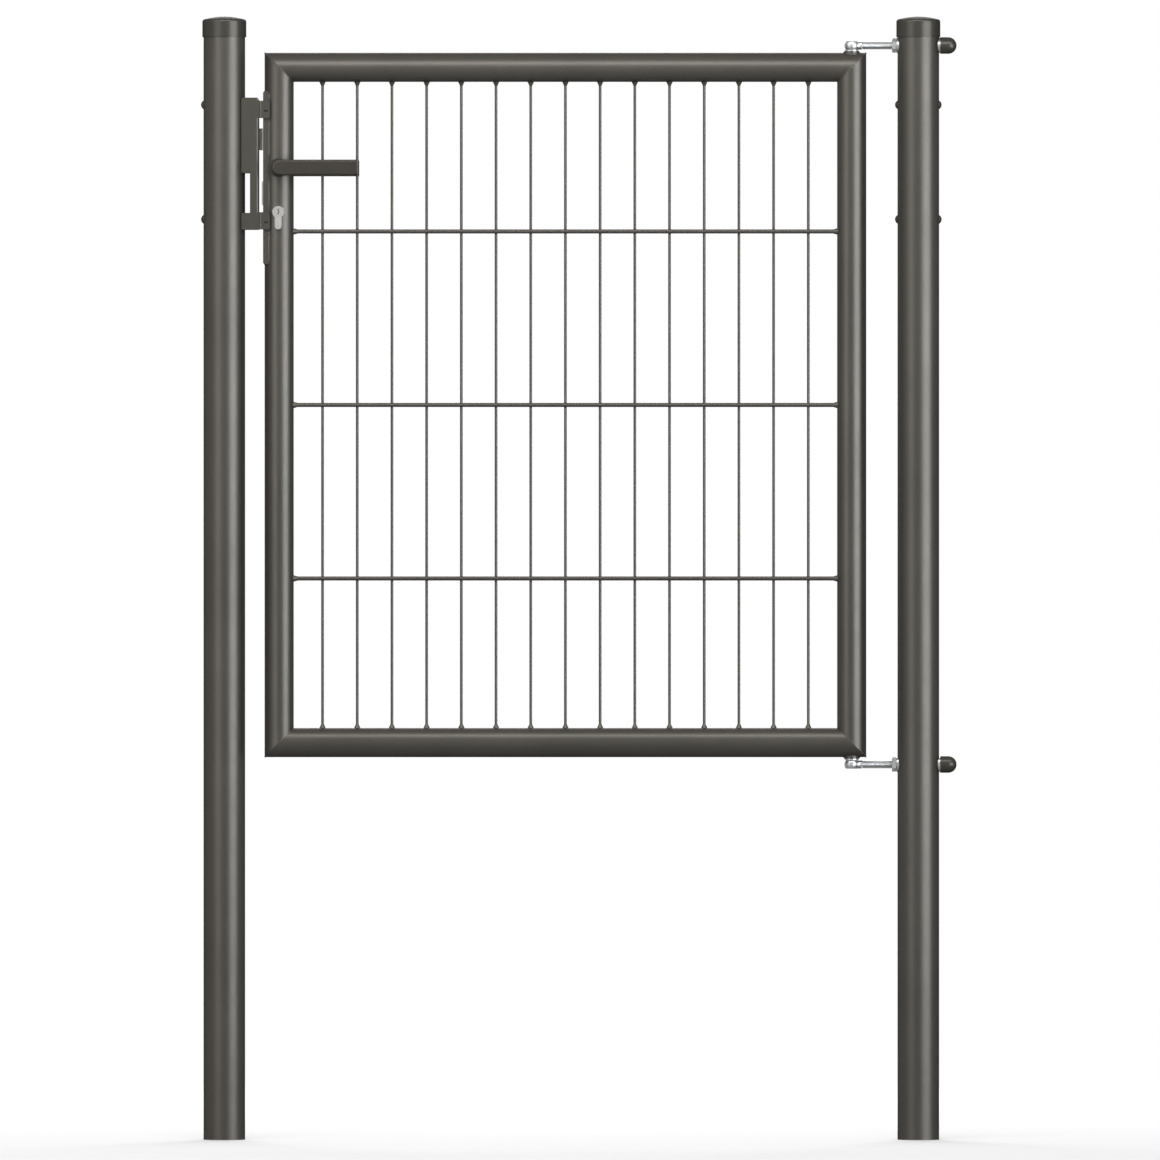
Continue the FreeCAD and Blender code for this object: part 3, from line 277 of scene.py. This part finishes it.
def zinc_plating(name):
    """Bright zinc on turned steel: cool grey with cloudy passivation and faint lathe lines round the bolt."""
    finish = Finish(name, Metallic=0.6)
    clouds = finish.spread(finish.grain(finish.place(), ZINC_CLOUDS, detail=4.0), start=0.35, end=0.65)
    coloured = finish.blend(clouds, linear(138, 139, 140), linear(151, 151, 150))
    turned = finish.bump(finish.lines(LATHE_LINES, detail=2.0), depth=0.000006, strength=0.5)
    gloss = finish.spread(clouds, low=0.33, high=0.38)
    return finish.shade(Base_Color=coloured, Roughness=gloss, Normal=turned)


def brushed_steel(name, dark, light, roughness, brushed, metallic=1.0):
    """Steel brushed along one axis: long fine scratches that lift and dull the surface."""
    finish = Finish(name, Metallic=metallic)
    scratches = finish.lines(brushed, detail=4.0, roughness=0.6)
    coloured = finish.blend(finish.spread(scratches, start=0.3, end=0.7), dark, light)
    cuts = finish.bump(scratches, depth=0.000008, strength=0.6)
    smudges = finish.grain(finish.place(), STEEL_SMUDGES, detail=3.0)
    gloss = finish.spread(smudges, start=0.3, end=0.7, low=roughness - 0.05, high=roughness + 0.06)
    return finish.shade(Base_Color=coloured, Roughness=gloss, Normal=cuts)


def black_rubber(name):
    """Moulded rubber, slightly dusty."""
    finish = Finish(name, IOR=1.45, Specular_IOR_Level=0.2)
    where = finish.place()
    dust = finish.spread(finish.grain(where, RUBBER_DUST, detail=4.0), start=0.4, end=0.75, high=0.5)
    coloured = finish.blend(dust, linear(20, 20, 20), linear(40, 39, 38))
    pores = finish.bump(finish.grain(where, RUBBER_PORES), depth=0.00008, strength=0.6)
    gloss = finish.spread(dust, end=0.5, low=0.62, high=0.82)
    return finish.shade(Base_Color=coloured, Roughness=gloss, Normal=pores)


FINISHES = {
    "paint": powder_coat(
        "paint", linear(82, 79, 74), linear(112, 109, 103), roughness=0.38, peel=0.00004, sheen=TUBE_SHEEN,
    ),
    "lever_paint": powder_coat(
        "lever_paint", linear(72, 69, 64), linear(98, 95, 90), roughness=0.32, peel=0.00004,
        sheen=LEVER_SHEEN,
    ),
    "cap_plastic": moulded_plastic("cap_plastic", linear(76, 74, 69), roughness=0.33),
    "zinc": zinc_plating("zinc"),
    "stainless": brushed_steel(
        "stainless", linear(120, 119, 116), linear(170, 169, 165), roughness=0.36, brushed=BRUSHED_UP,
    ),
    "latch_steel": brushed_steel(
        "latch_steel", linear(198, 194, 188), linear(218, 214, 208), roughness=0.34, brushed=BRUSHED_ALONG,
        metallic=0.30,
    ),
    "nickel": brushed_steel(
        "nickel", linear(166, 164, 161), linear(196, 195, 192), roughness=0.17, brushed=BRUSHED_THROUGH,
    ),
    "rubber": black_rubber("rubber"),
}
# Dark steel that paints the shade inside the keyways
KEYWAY_SHADE_STEEL = brushed_steel(
    "keyway_painted_shade_steel", linear(40, 39, 38), linear(58, 57, 55), roughness=0.5, brushed=BRUSHED_THROUGH,
    metallic=0.3,
)
# The tubes' coat on folded sheet: rougher, and darker in colour as painted shade on its flat faces
SHEET_SHADED_PAINT = powder_coat(
    "sheet_paint_painted_shade", linear(74, 72, 66), linear(110, 107, 101), roughness=0.42, peel=0.00006, sheen=TUBE_SHEEN,
)


def dress_nodes():
    """Each carried-over solid takes the finish of its slot in the record, flatter on folded sheet and darker
    there as painted shade.
    """
    for part in frame["record"]["subparts"]:
        node = frame["nodes"][part["node"]]
        finish = FINISHES[part["material_slot"]]
        if part["node"] in SHEET_PARTS:
            finish = SHEET_SHADED_PAINT
        if not node.material_slots:
            node.data.materials.append(finish)
        for place in node.material_slots:
            place.material = finish


def settle(bm, name, slot, body, sharp=SHARP, finish=None):
    """Makes one piece of a finished bmesh: doubles merged, faces outwards, smooth but for sharp edges."""
    bmesh.ops.remove_doubles(bm, verts=bm.verts, dist=MERGE)
    bmesh.ops.recalc_face_normals(bm, faces=bm.faces)
    mesh = bpy.data.meshes.new(name)
    bm.to_mesh(mesh)
    bm.free()
    mesh.shade_smooth()
    mesh.set_sharp_from_angle(angle=math.radians(sharp))
    mesh.materials.append(finish or FINISHES[slot])
    piece = bpy.data.objects.new(name, mesh)
    bpy.context.scene.collection.objects.link(piece)
    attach(piece, body)
    return piece


def join(bm, part):
    """Adds a part's mesh to the bmesh that collects a piece."""
    mesh = bpy.data.meshes.new("part")
    part.to_mesh(mesh)
    part.free()
    bm.from_mesh(mesh)
    bpy.data.meshes.remove(mesh)


def outline(bm, points):
    """New vertices at the points, and the edges that join each to the next."""
    verts = [bm.verts.new(point) for point in points]
    edges = [bm.edges.new(pair) for pair in zip(verts, verts[1:])]
    return verts, edges


def grown_verts(result):
    """The vertices among what an extrusion has made."""
    return [made for made in result["geom"] if isinstance(made, bmesh.types.BMVert)]


def close_holes(bm):
    """Fills each open rim with a face."""
    bmesh.ops.holes_fill(bm, edges=[edge for edge in bm.edges if edge.is_boundary], sides=0)


def roughen(bm, reach, lumps):
    """Moves each vertex by up to about reach, as on rough weld metal with so many lumps to a metre."""
    noise.seed_set(ROUGH_SEED)
    for vert in bm.verts:
        vert.co += reach * noise.noise_vector(lumps * vert.co)


def weld_bead(bm, path, radius, closed=False):
    """Adds a rippled round bead along a path of close points, half sunk in the metal that it joins."""
    bead = bmesh.new()
    points = [Vector(point) for point in path]
    if closed:
        points.append(points[0])
    last = len(points) - 1
    aims = [(points[min(i + 1, last)] - points[max(i - 1, 0)]).normalized() for i in range(last + 1)]
    if closed:
        aims[0] = aims[last] = (points[1] - points[last - 1]).normalized()
    start = Matrix.Translation(points[0]) @ aims[0].to_track_quat("Z", "Y").to_matrix().to_4x4()
    ring = bmesh.ops.create_circle(bead, segments=BEAD_SIDES, radius=radius, matrix=start)["verts"]
    edges = list({edge for vert in ring for edge in vert.link_edges})
    ends = [edges]
    travelled = 0.0
    size = 1.0
    for i in range(last):
        travelled += (points[i + 1] - points[i]).length
        grown = bmesh.ops.extrude_edge_only(bead, edges=edges)
        edges = [g for g in grown["geom"] if isinstance(g, bmesh.types.BMEdge) and g.is_boundary]
        next_size = 1.0
        if i + 1 < last:
            next_size = 1.0 + RIPPLE * math.sin(math.tau * travelled / RIPPLE_PITCH)
        step = (
            Matrix.Translation(points[i + 1])
            @ aims[i].rotation_difference(aims[i + 1]).to_matrix().to_4x4()
            @ Matrix.Scale(next_size / size, 4)
            @ Matrix.Translation(-points[i])
        )
        bmesh.ops.transform(bead, matrix=step, verts=grown_verts(grown))
        size = next_size
    ends.append(edges)
    if not closed:
        for rim in ends:
            bmesh.ops.edgeloop_fill(bead, edges=rim)
    join(bm, bead)


def frame_axes():
    """The centre lines of the leaf's tubes, x of the stiles and z of the rails, and the tubes' radius."""
    rail_low, rail_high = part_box("top_rail")
    radius = (rail_high.y - rail_low.y) / 2
    lock_low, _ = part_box("lock_stile")
    _, hinge_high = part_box("hinge_stile")
    bottom_low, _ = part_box("bottom_rail")
    return {
        "lock": lock_low.x + radius,
        "hinge": hinge_high.x - radius,
        "bottom": bottom_low.z + radius,
        "top": rail_high.z - radius,
        "radius": radius,
    }


def corner_welds(axes):
    """A fine bead round each mitre of the frame, on the ellipse where the two tubes meet."""
    bm = bmesh.new()
    radius = axes["radius"] - MITRE_SUNK
    count = round(math.tau * radius * MITRE_STRETCH / BEAD_STEP)
    for side, level in (("lock", "bottom"), ("lock", "top"), ("hinge", "bottom"), ("hinge", "top")):
        lean = 1.0 if (side == "hinge") == (level == "top") else -1.0
        path = []
        for i in range(count):
            turn = math.tau * i / count
            along = radius * math.cos(turn)
            path.append((axes[side] + along, radius * math.sin(turn), axes[level] + lean * along))
        weld_bead(bm, path, MITRE_BEAD, closed=True)
    return settle(bm, "corner_welds", "paint", "leaf")


def flange_welds(axes):
    """The hinge pins' flanges welded on the rails, on the saddle line where flange and tube meet."""
    bm = bmesh.new()
    for node, level, outwards in (("lower_hinge_pin", "bottom", -1.0), ("upper_hinge_pin", "top", 1.0)):
        low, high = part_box(node)
        flange = (high.y - low.y) / 2
        count = round(math.tau * flange / BEAD_STEP)
        path = []
        for i in range(count):
            turn = math.tau * i / count
            y = flange * math.sin(turn)
            drop = math.sqrt(axes["radius"] ** 2 - y ** 2)
            path.append((axes["hinge"] + flange * math.cos(turn), y, axes[level] + outwards * drop))
        weld_bead(bm, path, FLANGE_BEAD, closed=True)
    return settle(bm, "flange_welds", "paint", "leaf")


def straight(start, end):
    """Close points from start to end."""
    start, end = Vector(start), Vector(end)
    count = max(2, round((end - start).length / BEAD_STEP))
    return [start.lerp(end, i / count) for i in range(count + 1)]


def lock_box_welds(axes):
    """Stitches up both sides of the lock box, clear of its rose and stops, and a bead over each end."""
    bm = bmesh.new()
    low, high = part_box("lock_box")
    radius = axes["radius"]
    half = (high.y - low.y) / 2
    seam_x = axes["lock"] - math.sqrt(radius ** 2 - half ** 2)
    levels = [low.z]
    for node in ("lower_stop_buffer", "front_rose", "upper_stop_buffer"):
        levels += [corner.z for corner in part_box(node)]
    levels.append(high.z)
    for y in (-half, half):
        for bottom, top in zip(levels[::2], levels[1::2]):
            if top - bottom > 3 * STITCH_MARGIN:
                stitch = straight((seam_x, y, bottom + STITCH_MARGIN), (seam_x, y, top - STITCH_MARGIN))
                weld_bead(bm, stitch, BOX_BEAD)
    reach = math.asin(half / radius)
    count = round(2 * reach * radius / BEAD_STEP)
    for z in (low.z, high.z):
        arc = []
        for i in range(count + 1):
            turn = math.pi + reach * (2 * i / count - 1)
            arc.append((axes["lock"] + radius * math.cos(turn), radius * math.sin(turn), z))
        weld_bead(bm, arc, BOX_BEAD)
    return settle(bm, "lock_box_welds", "paint", "leaf")


def keyway_painted_shade(side):
    """Painted shade inside one keyway: a dark jogged bar that fills the slot from just below its mouth."""
    low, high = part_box("cylinder_plug")
    face, inwards = (low.y, 1.0) if side == "front" else (high.y, -1.0)
    middle = (low + high) / 2
    y = face + inwards * KEYWAY_SUNK
    top = middle.z + KEYWAY_RISE + KEYWAY_TALL / 2
    corners = []
    for jog, share in KEYWAY_CORNERS:
        x = middle.x + jog * KEYWAY_JOG - KEYWAY_WIDE / 2
        corners.append((x, y, top - share * KEYWAY_TALL))
    bm = bmesh.new()
    _, edges = outline(bm, corners)
    across = grown_verts(bmesh.ops.extrude_edge_only(bm, edges=edges))
    bmesh.ops.translate(bm, verts=across, vec=(KEYWAY_WIDE, 0.0, 0.0))
    deep = grown_verts(bmesh.ops.extrude_face_region(bm, geom=bm.faces[:]))
    bmesh.ops.translate(bm, verts=deep, vec=(0.0, inwards * KEYWAY_DEEP, 0.0))
    return settle(bm, f"{side}_keyway_painted_shade", "nickel", "key_plug", finish=KEYWAY_SHADE_STEEL)


def first_ring(coords, axis, past):
    """The points nearest past a place along an axis, where wires or bars run plain to their weld cones."""
    beyond = [co for co in coords if getattr(co, axis) > past]
    nearest = min(getattr(co, axis) for co in beyond)
    return [co for co in beyond if getattr(co, axis) < nearest + RING_DEPTH]


def runs(values, gap):
    """Low and high of each run of rising values that lie closer together than the gap."""
    found = [[values[0], values[0]]]
    for value in values[1:]:
        if value - found[-1][1] > gap:
            found.append([value, value])
        found[-1][1] = value
    return found


def wire_places():
    """Where the panel's wires and bars run, read from its mesh near the top rail and the hinge stile:
    low and high x of each wire and z of each bar, and low and high y of either kind."""
    coords = [vert.co for vert in frame["nodes"]["wire_panel"].data.vertices]
    _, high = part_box("wire_panel")
    wire_ring = first_ring(coords, "z", high.z - NEAR_FRAME)
    bar_ring = first_ring(coords, "x", high.x - NEAR_FRAME)
    wire_depths = sorted(co.y for co in wire_ring)
    bar_depths = sorted(co.y for co in bar_ring)
    return {
        "wires": runs(sorted(co.x for co in wire_ring), WIRE_GAP),
        "bars": runs(sorted(co.z for co in bar_ring), WIRE_GAP),
        "wire_y": (wire_depths[0], wire_depths[-1]),
        "bar_y": (bar_depths[0], bar_depths[-1]),
    }


def crossing_welds(panel):
    """A flattened nugget where each wire is resistance-welded on each bar."""
    bm = bmesh.new()
    y = (panel["wire_y"][0] + panel["bar_y"][1]) / 2
    flat = Matrix.Diagonal((*NUGGET_SHAPE, 1.0))
    for wire in panel["wires"]:
        for bar in panel["bars"]:
            place = Matrix.Translation((sum(wire) / 2, y, sum(bar) / 2))
            bmesh.ops.create_icosphere(bm, subdivisions=2, radius=NUGGET, matrix=place @ flat)
    roughen(bm, NUGGET_ROUGH, NUGGET_LUMPS)
    return settle(bm, "crossing_welds", "paint", "leaf", sharp=SHARP_ROUGH)


def weld_cone(bm, foot, up, wire_radius):
    """Adds a cone of weld metal round a wire's end, from inside the tube up to the wire."""
    cone = bmesh.new()
    profile = [(CONE_FOOT, 0.0, -CONE_HEIGHT / 2)]
    for i in range(CONE_ROWS + 1):
        rise = i / CONE_ROWS
        reach = wire_radius + (CONE_FOOT - wire_radius) * (1 - rise) ** CONE_FLARE
        profile.append((reach, 0.0, CONE_HEIGHT * rise))
    verts, edges = outline(cone, profile)
    bmesh.ops.spin(
        cone, geom=verts + edges, cent=(0.0, 0.0, 0.0), axis=(0.0, 0.0, 1.0), dvec=(0.0, 0.0, 0.0),
        angle=math.tau, steps=CONE_SIDES, use_merge=True, use_duplicate=False,
    )
    turned = Vector((0.0, 0.0, 1.0)).rotation_difference(Vector(up)).to_matrix().to_4x4()
    bmesh.ops.transform(cone, matrix=Matrix.Translation(foot) @ turned, verts=cone.verts)
    close_holes(cone)
    join(bm, cone)


def end_welds(axes, panel):
    """Weld cones where the wires end on the rails and the bars on the stiles."""
    bm = bmesh.new()
    low, high = panel["wire_y"]
    y, wire_radius = (low + high) / 2, (high - low) / 2
    seat = math.sqrt(axes["radius"] ** 2 - y ** 2)
    for wire in panel["wires"]:
        x = sum(wire) / 2
        weld_cone(bm, (x, y, axes["bottom"] + seat), (0.0, 0.0, 1.0), wire_radius)
        weld_cone(bm, (x, y, axes["top"] - seat), (0.0, 0.0, -1.0), wire_radius)
    low, high = panel["bar_y"]
    y, bar_radius = (low + high) / 2, (high - low) / 2
    seat = math.sqrt(axes["radius"] ** 2 - y ** 2)
    for bar in panel["bars"]:
        z = sum(bar) / 2
        weld_cone(bm, (axes["lock"] + seat, y, z), (1.0, 0.0, 0.0), bar_radius)
        weld_cone(bm, (axes["hinge"] - seat, y, z), (-1.0, 0.0, 0.0), bar_radius)
    roughen(bm, CONE_ROUGH, CONE_LUMPS)
    return settle(bm, "end_welds", "paint", "leaf", sharp=SHARP_ROUGH)


def threaded_eyebolt(side, axes):
    """The hinge bolt with a real thread: the eye and its neck as they are, and a rolled thread beyond."""
    name = f"{side}_hinge_eyebolt"
    low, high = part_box(name)
    centre_z = (low.z + high.z) / 2
    crest = (high.z - low.z) / 2
    root = crest - THREAD_DEPTH
    eye_radius = axes["hinge"] - low.x
    start = axes["hinge"] + eye_radius + PLAIN_NECK
    bm = bmesh.new()
    bm.from_mesh(frame["nodes"][name].data)
    bmesh.ops.remove_doubles(bm, verts=bm.verts, dist=MERGE)
    everything = bm.verts[:] + bm.edges[:] + bm.faces[:]
    bmesh.ops.bisect_plane(
        bm, geom=everything, plane_co=(start, 0.0, 0.0), plane_no=(1.0, 0.0, 0.0), clear_outer=True,
    )
    close_holes(bm)
    turns = math.floor((high.x - start) / PITCH) - 1
    shape = ((0.0, root), (FLANK, crest), (FLANK + CREST, crest), (2 * FLANK + CREST, root), (1.0, root))
    verts, edges = outline(bm, [(start + share * PITCH, 0.0, centre_z + reach) for share, reach in shape])
    bmesh.ops.spin(
        bm, geom=verts + edges, cent=(0.0, 0.0, centre_z), axis=(1.0, 0.0, 0.0),
        dvec=(PITCH / THREAD_STEPS, 0.0, 0.0), angle=turns * math.tau, steps=turns * THREAD_STEPS,
        use_merge=False, use_duplicate=False,
    )
    bmesh.ops.remove_doubles(bm, verts=bm.verts, dist=MERGE)
    close_holes(bm)
    piece = settle(bm, f"{side}_threaded_eyebolt", "zinc", "posts", sharp=SHARP_THREAD)
    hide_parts(name)
    return piece


def calculate(tree, operation, first, second):
    """The result of one step of arithmetic on two numbers or sockets."""
    return add_node(tree, "ShaderNodeMath", {"operation": operation}, {0: first, 1: second}).outputs[0]


def only_seen(tree):
    """1 for the rays that show a background, straight, in gloss or through glass, and 0 for the rest."""
    rays = add_node(tree, "ShaderNodeLightPath").outputs
    straight_or_gloss = calculate(tree, "MAXIMUM", rays["Is Camera Ray"], rays["Is Glossy Ray"])
    return calculate(tree, "MAXIMUM", straight_or_gloss, rays["Is Transmission Ray"])


def studio_world(ambient):
    """White to the eye and in reflections, and a softer even light on the object."""
    world = bpy.data.worlds.new("studio")
    world.use_nodes = True
    bpy.context.scene.world = world
    tree = world.node_tree
    background = tree.nodes["Background"]
    background.inputs["Color"].default_value = WHITE
    inputs = {"Value": only_seen(tree), "To Min": ambient, "To Max": 1.0}
    strength = add_node(tree, "ShaderNodeMapRange", inputs=inputs)
    tree.links.new(strength.outputs["Result"], background.inputs["Strength"])


def floor_paint(middle, pale, dull, glow):
    """Matt white where it is seen and duller to the gate itself, white in gloss, and white to the eye
    past the circle that keeps the shadow."""
    material = bpy.data.materials.new("floor")
    material.use_nodes = True
    tree = material.node_tree
    tree.nodes.remove(tree.nodes["Principled BSDF"])
    seen = only_seen(tree)
    grey = add_node(tree, "ShaderNodeMapRange", inputs={"Value": seen, "To Min": dull, "To Max": pale})
    matte = add_node(tree, "ShaderNodeBsdfDiffuse", inputs={"Color": grey.outputs["Result"]})
    lift = add_node(tree, "ShaderNodeEmission", inputs={"Strength": calculate(tree, "MULTIPLY", seen, glow)})
    lit = add_node(tree, "ShaderNodeAddShader", inputs={0: matte.outputs[0], 1: lift.outputs[0]})
    where = add_node(tree, "ShaderNodeTexCoord").outputs["Object"]
    reach = add_node(tree, "ShaderNodeVectorMath", {"operation": "DISTANCE"}, {0: where, 1: middle})
    span = {"Value": reach.outputs["Value"], "From Min": SHADOW_REACH, "From Max": FLOOR_SIDE / 2}
    fade = add_node(tree, "ShaderNodeMapRange", inputs=span).outputs["Result"]
    rays = add_node(tree, "ShaderNodeLightPath").outputs
    faded = calculate(tree, "MULTIPLY", fade, rays["Is Camera Ray"])
    share = calculate(tree, "MAXIMUM", faded, rays["Is Glossy Ray"])
    white = add_node(tree, "ShaderNodeEmission")
    shaders = {"Fac": share, 1: lit.outputs[0], 2: white.outputs[0]}
    mixed = add_node(tree, "ShaderNodeMixShader", inputs=shaders)
    tree.links.new(mixed.outputs[0], tree.nodes["Material Output"].inputs["Surface"])
    return material


def studio_floor(pale, dull, glow):
    """A plain pale floor that keeps the gate's shadow."""
    middle = (PHOTO_CENTRE.x, 0.0, 0.0)
    bm = bmesh.new()
    bmesh.ops.create_grid(bm, x_segments=1, y_segments=1, size=FLOOR_SIDE / 2)
    bmesh.ops.translate(bm, verts=bm.verts, vec=middle)
    mesh = bpy.data.meshes.new("floor")
    bm.to_mesh(mesh)
    bm.free()
    mesh.materials.append(floor_paint(middle, pale, dull, glow))
    floor = bpy.data.objects.new("floor", mesh)
    bpy.context.scene.collection.objects.link(floor)


def softbox(
    name, azimuth, elevation, distance, width, height, power, in_gloss=True, in_matt=True, tint=PLAIN_LIGHT,
):
    """A rectangular lamp that faces the gate, seen in its gloss, by its matt light, or both.
    Azimuth 0 is the camera's side and 90 is the right."""
    lamp = bpy.data.lights.new(name, "AREA")
    lamp.shape = "RECTANGLE"
    lamp.size = width
    lamp.size_y = height
    lamp.energy = power
    lamp.color = tint
    turn, rise = math.radians(azimuth), math.radians(elevation)
    towards = Vector((math.sin(turn) * math.cos(rise), -math.cos(turn) * math.cos(rise), math.sin(rise)))
    stand = bpy.data.objects.new(name, lamp)
    stand.location = PHOTO_CENTRE + distance * towards
    stand.rotation_euler = (-towards).to_track_quat("-Z", "Y").to_euler()
    stand.visible_camera = False
    stand.visible_glossy = in_gloss
    stand.visible_diffuse = in_matt
    bpy.context.scene.collection.objects.link(stand)


def studio_camera():
    """A long lens straight in front of the gate, level with its middle."""
    lens = bpy.data.cameras.new("camera")
    lens.sensor_width = CAMERA_SENSOR
    lens.lens = CAMERA_SENSOR * CAMERA_DISTANCE / PHOTO_WIDTH
    lens.clip_end = CAMERA_REACH
    camera = bpy.data.objects.new("camera", lens)
    camera.location = PHOTO_CENTRE - Vector((0.0, CAMERA_DISTANCE, 0.0))
    camera.rotation_euler = (math.radians(90.0), 0.0, 0.0)
    bpy.context.scene.collection.objects.link(camera)
    bpy.context.scene.camera = camera


# The gate
dress_nodes()
axes = frame_axes()
corner_welds(axes)
flange_welds(axes)
lock_box_welds(axes)
# A dark bar of painted shade in each keyway
for side in ("front", "back"):
    keyway_painted_shade(side)
panel = wire_places()
crossing_welds(panel)
end_welds(axes, panel)
for side in ("lower", "upper"):
    threaded_eyebolt(side, axes)

# The studio: two lamps for matt light, and three broad ones that draw the highlights along the tubes
studio_world(ambient=0.37)
studio_floor(pale=0.8, dull=0.10, glow=0.20)
softbox(
    "key", azimuth=-10.0, elevation=28.0, distance=5.0, width=4.0, height=2.5, power=120.0,
    in_gloss=False,
)
softbox("back_key", azimuth=180.0, elevation=28.0, distance=5.0, width=4.0, height=2.5, power=230.0)
softbox(
    "right_gloss", azimuth=48.0, elevation=-4.0, distance=6.0, width=4.6, height=4.4, power=1010.0,
    in_matt=False, tint=COOL_LIGHT,
)
softbox(
    "left_gloss", azimuth=-38.0, elevation=-4.0, distance=6.0, width=3.2, height=4.4, power=190.0,
    in_matt=False,
)
softbox(
    "top_gloss", azimuth=0.0, elevation=51.0, distance=2.25, width=5.0, height=0.7, power=125.0,
    in_matt=False,
)
studio_camera()
bpy.context.scene.view_settings.view_transform = "Standard"
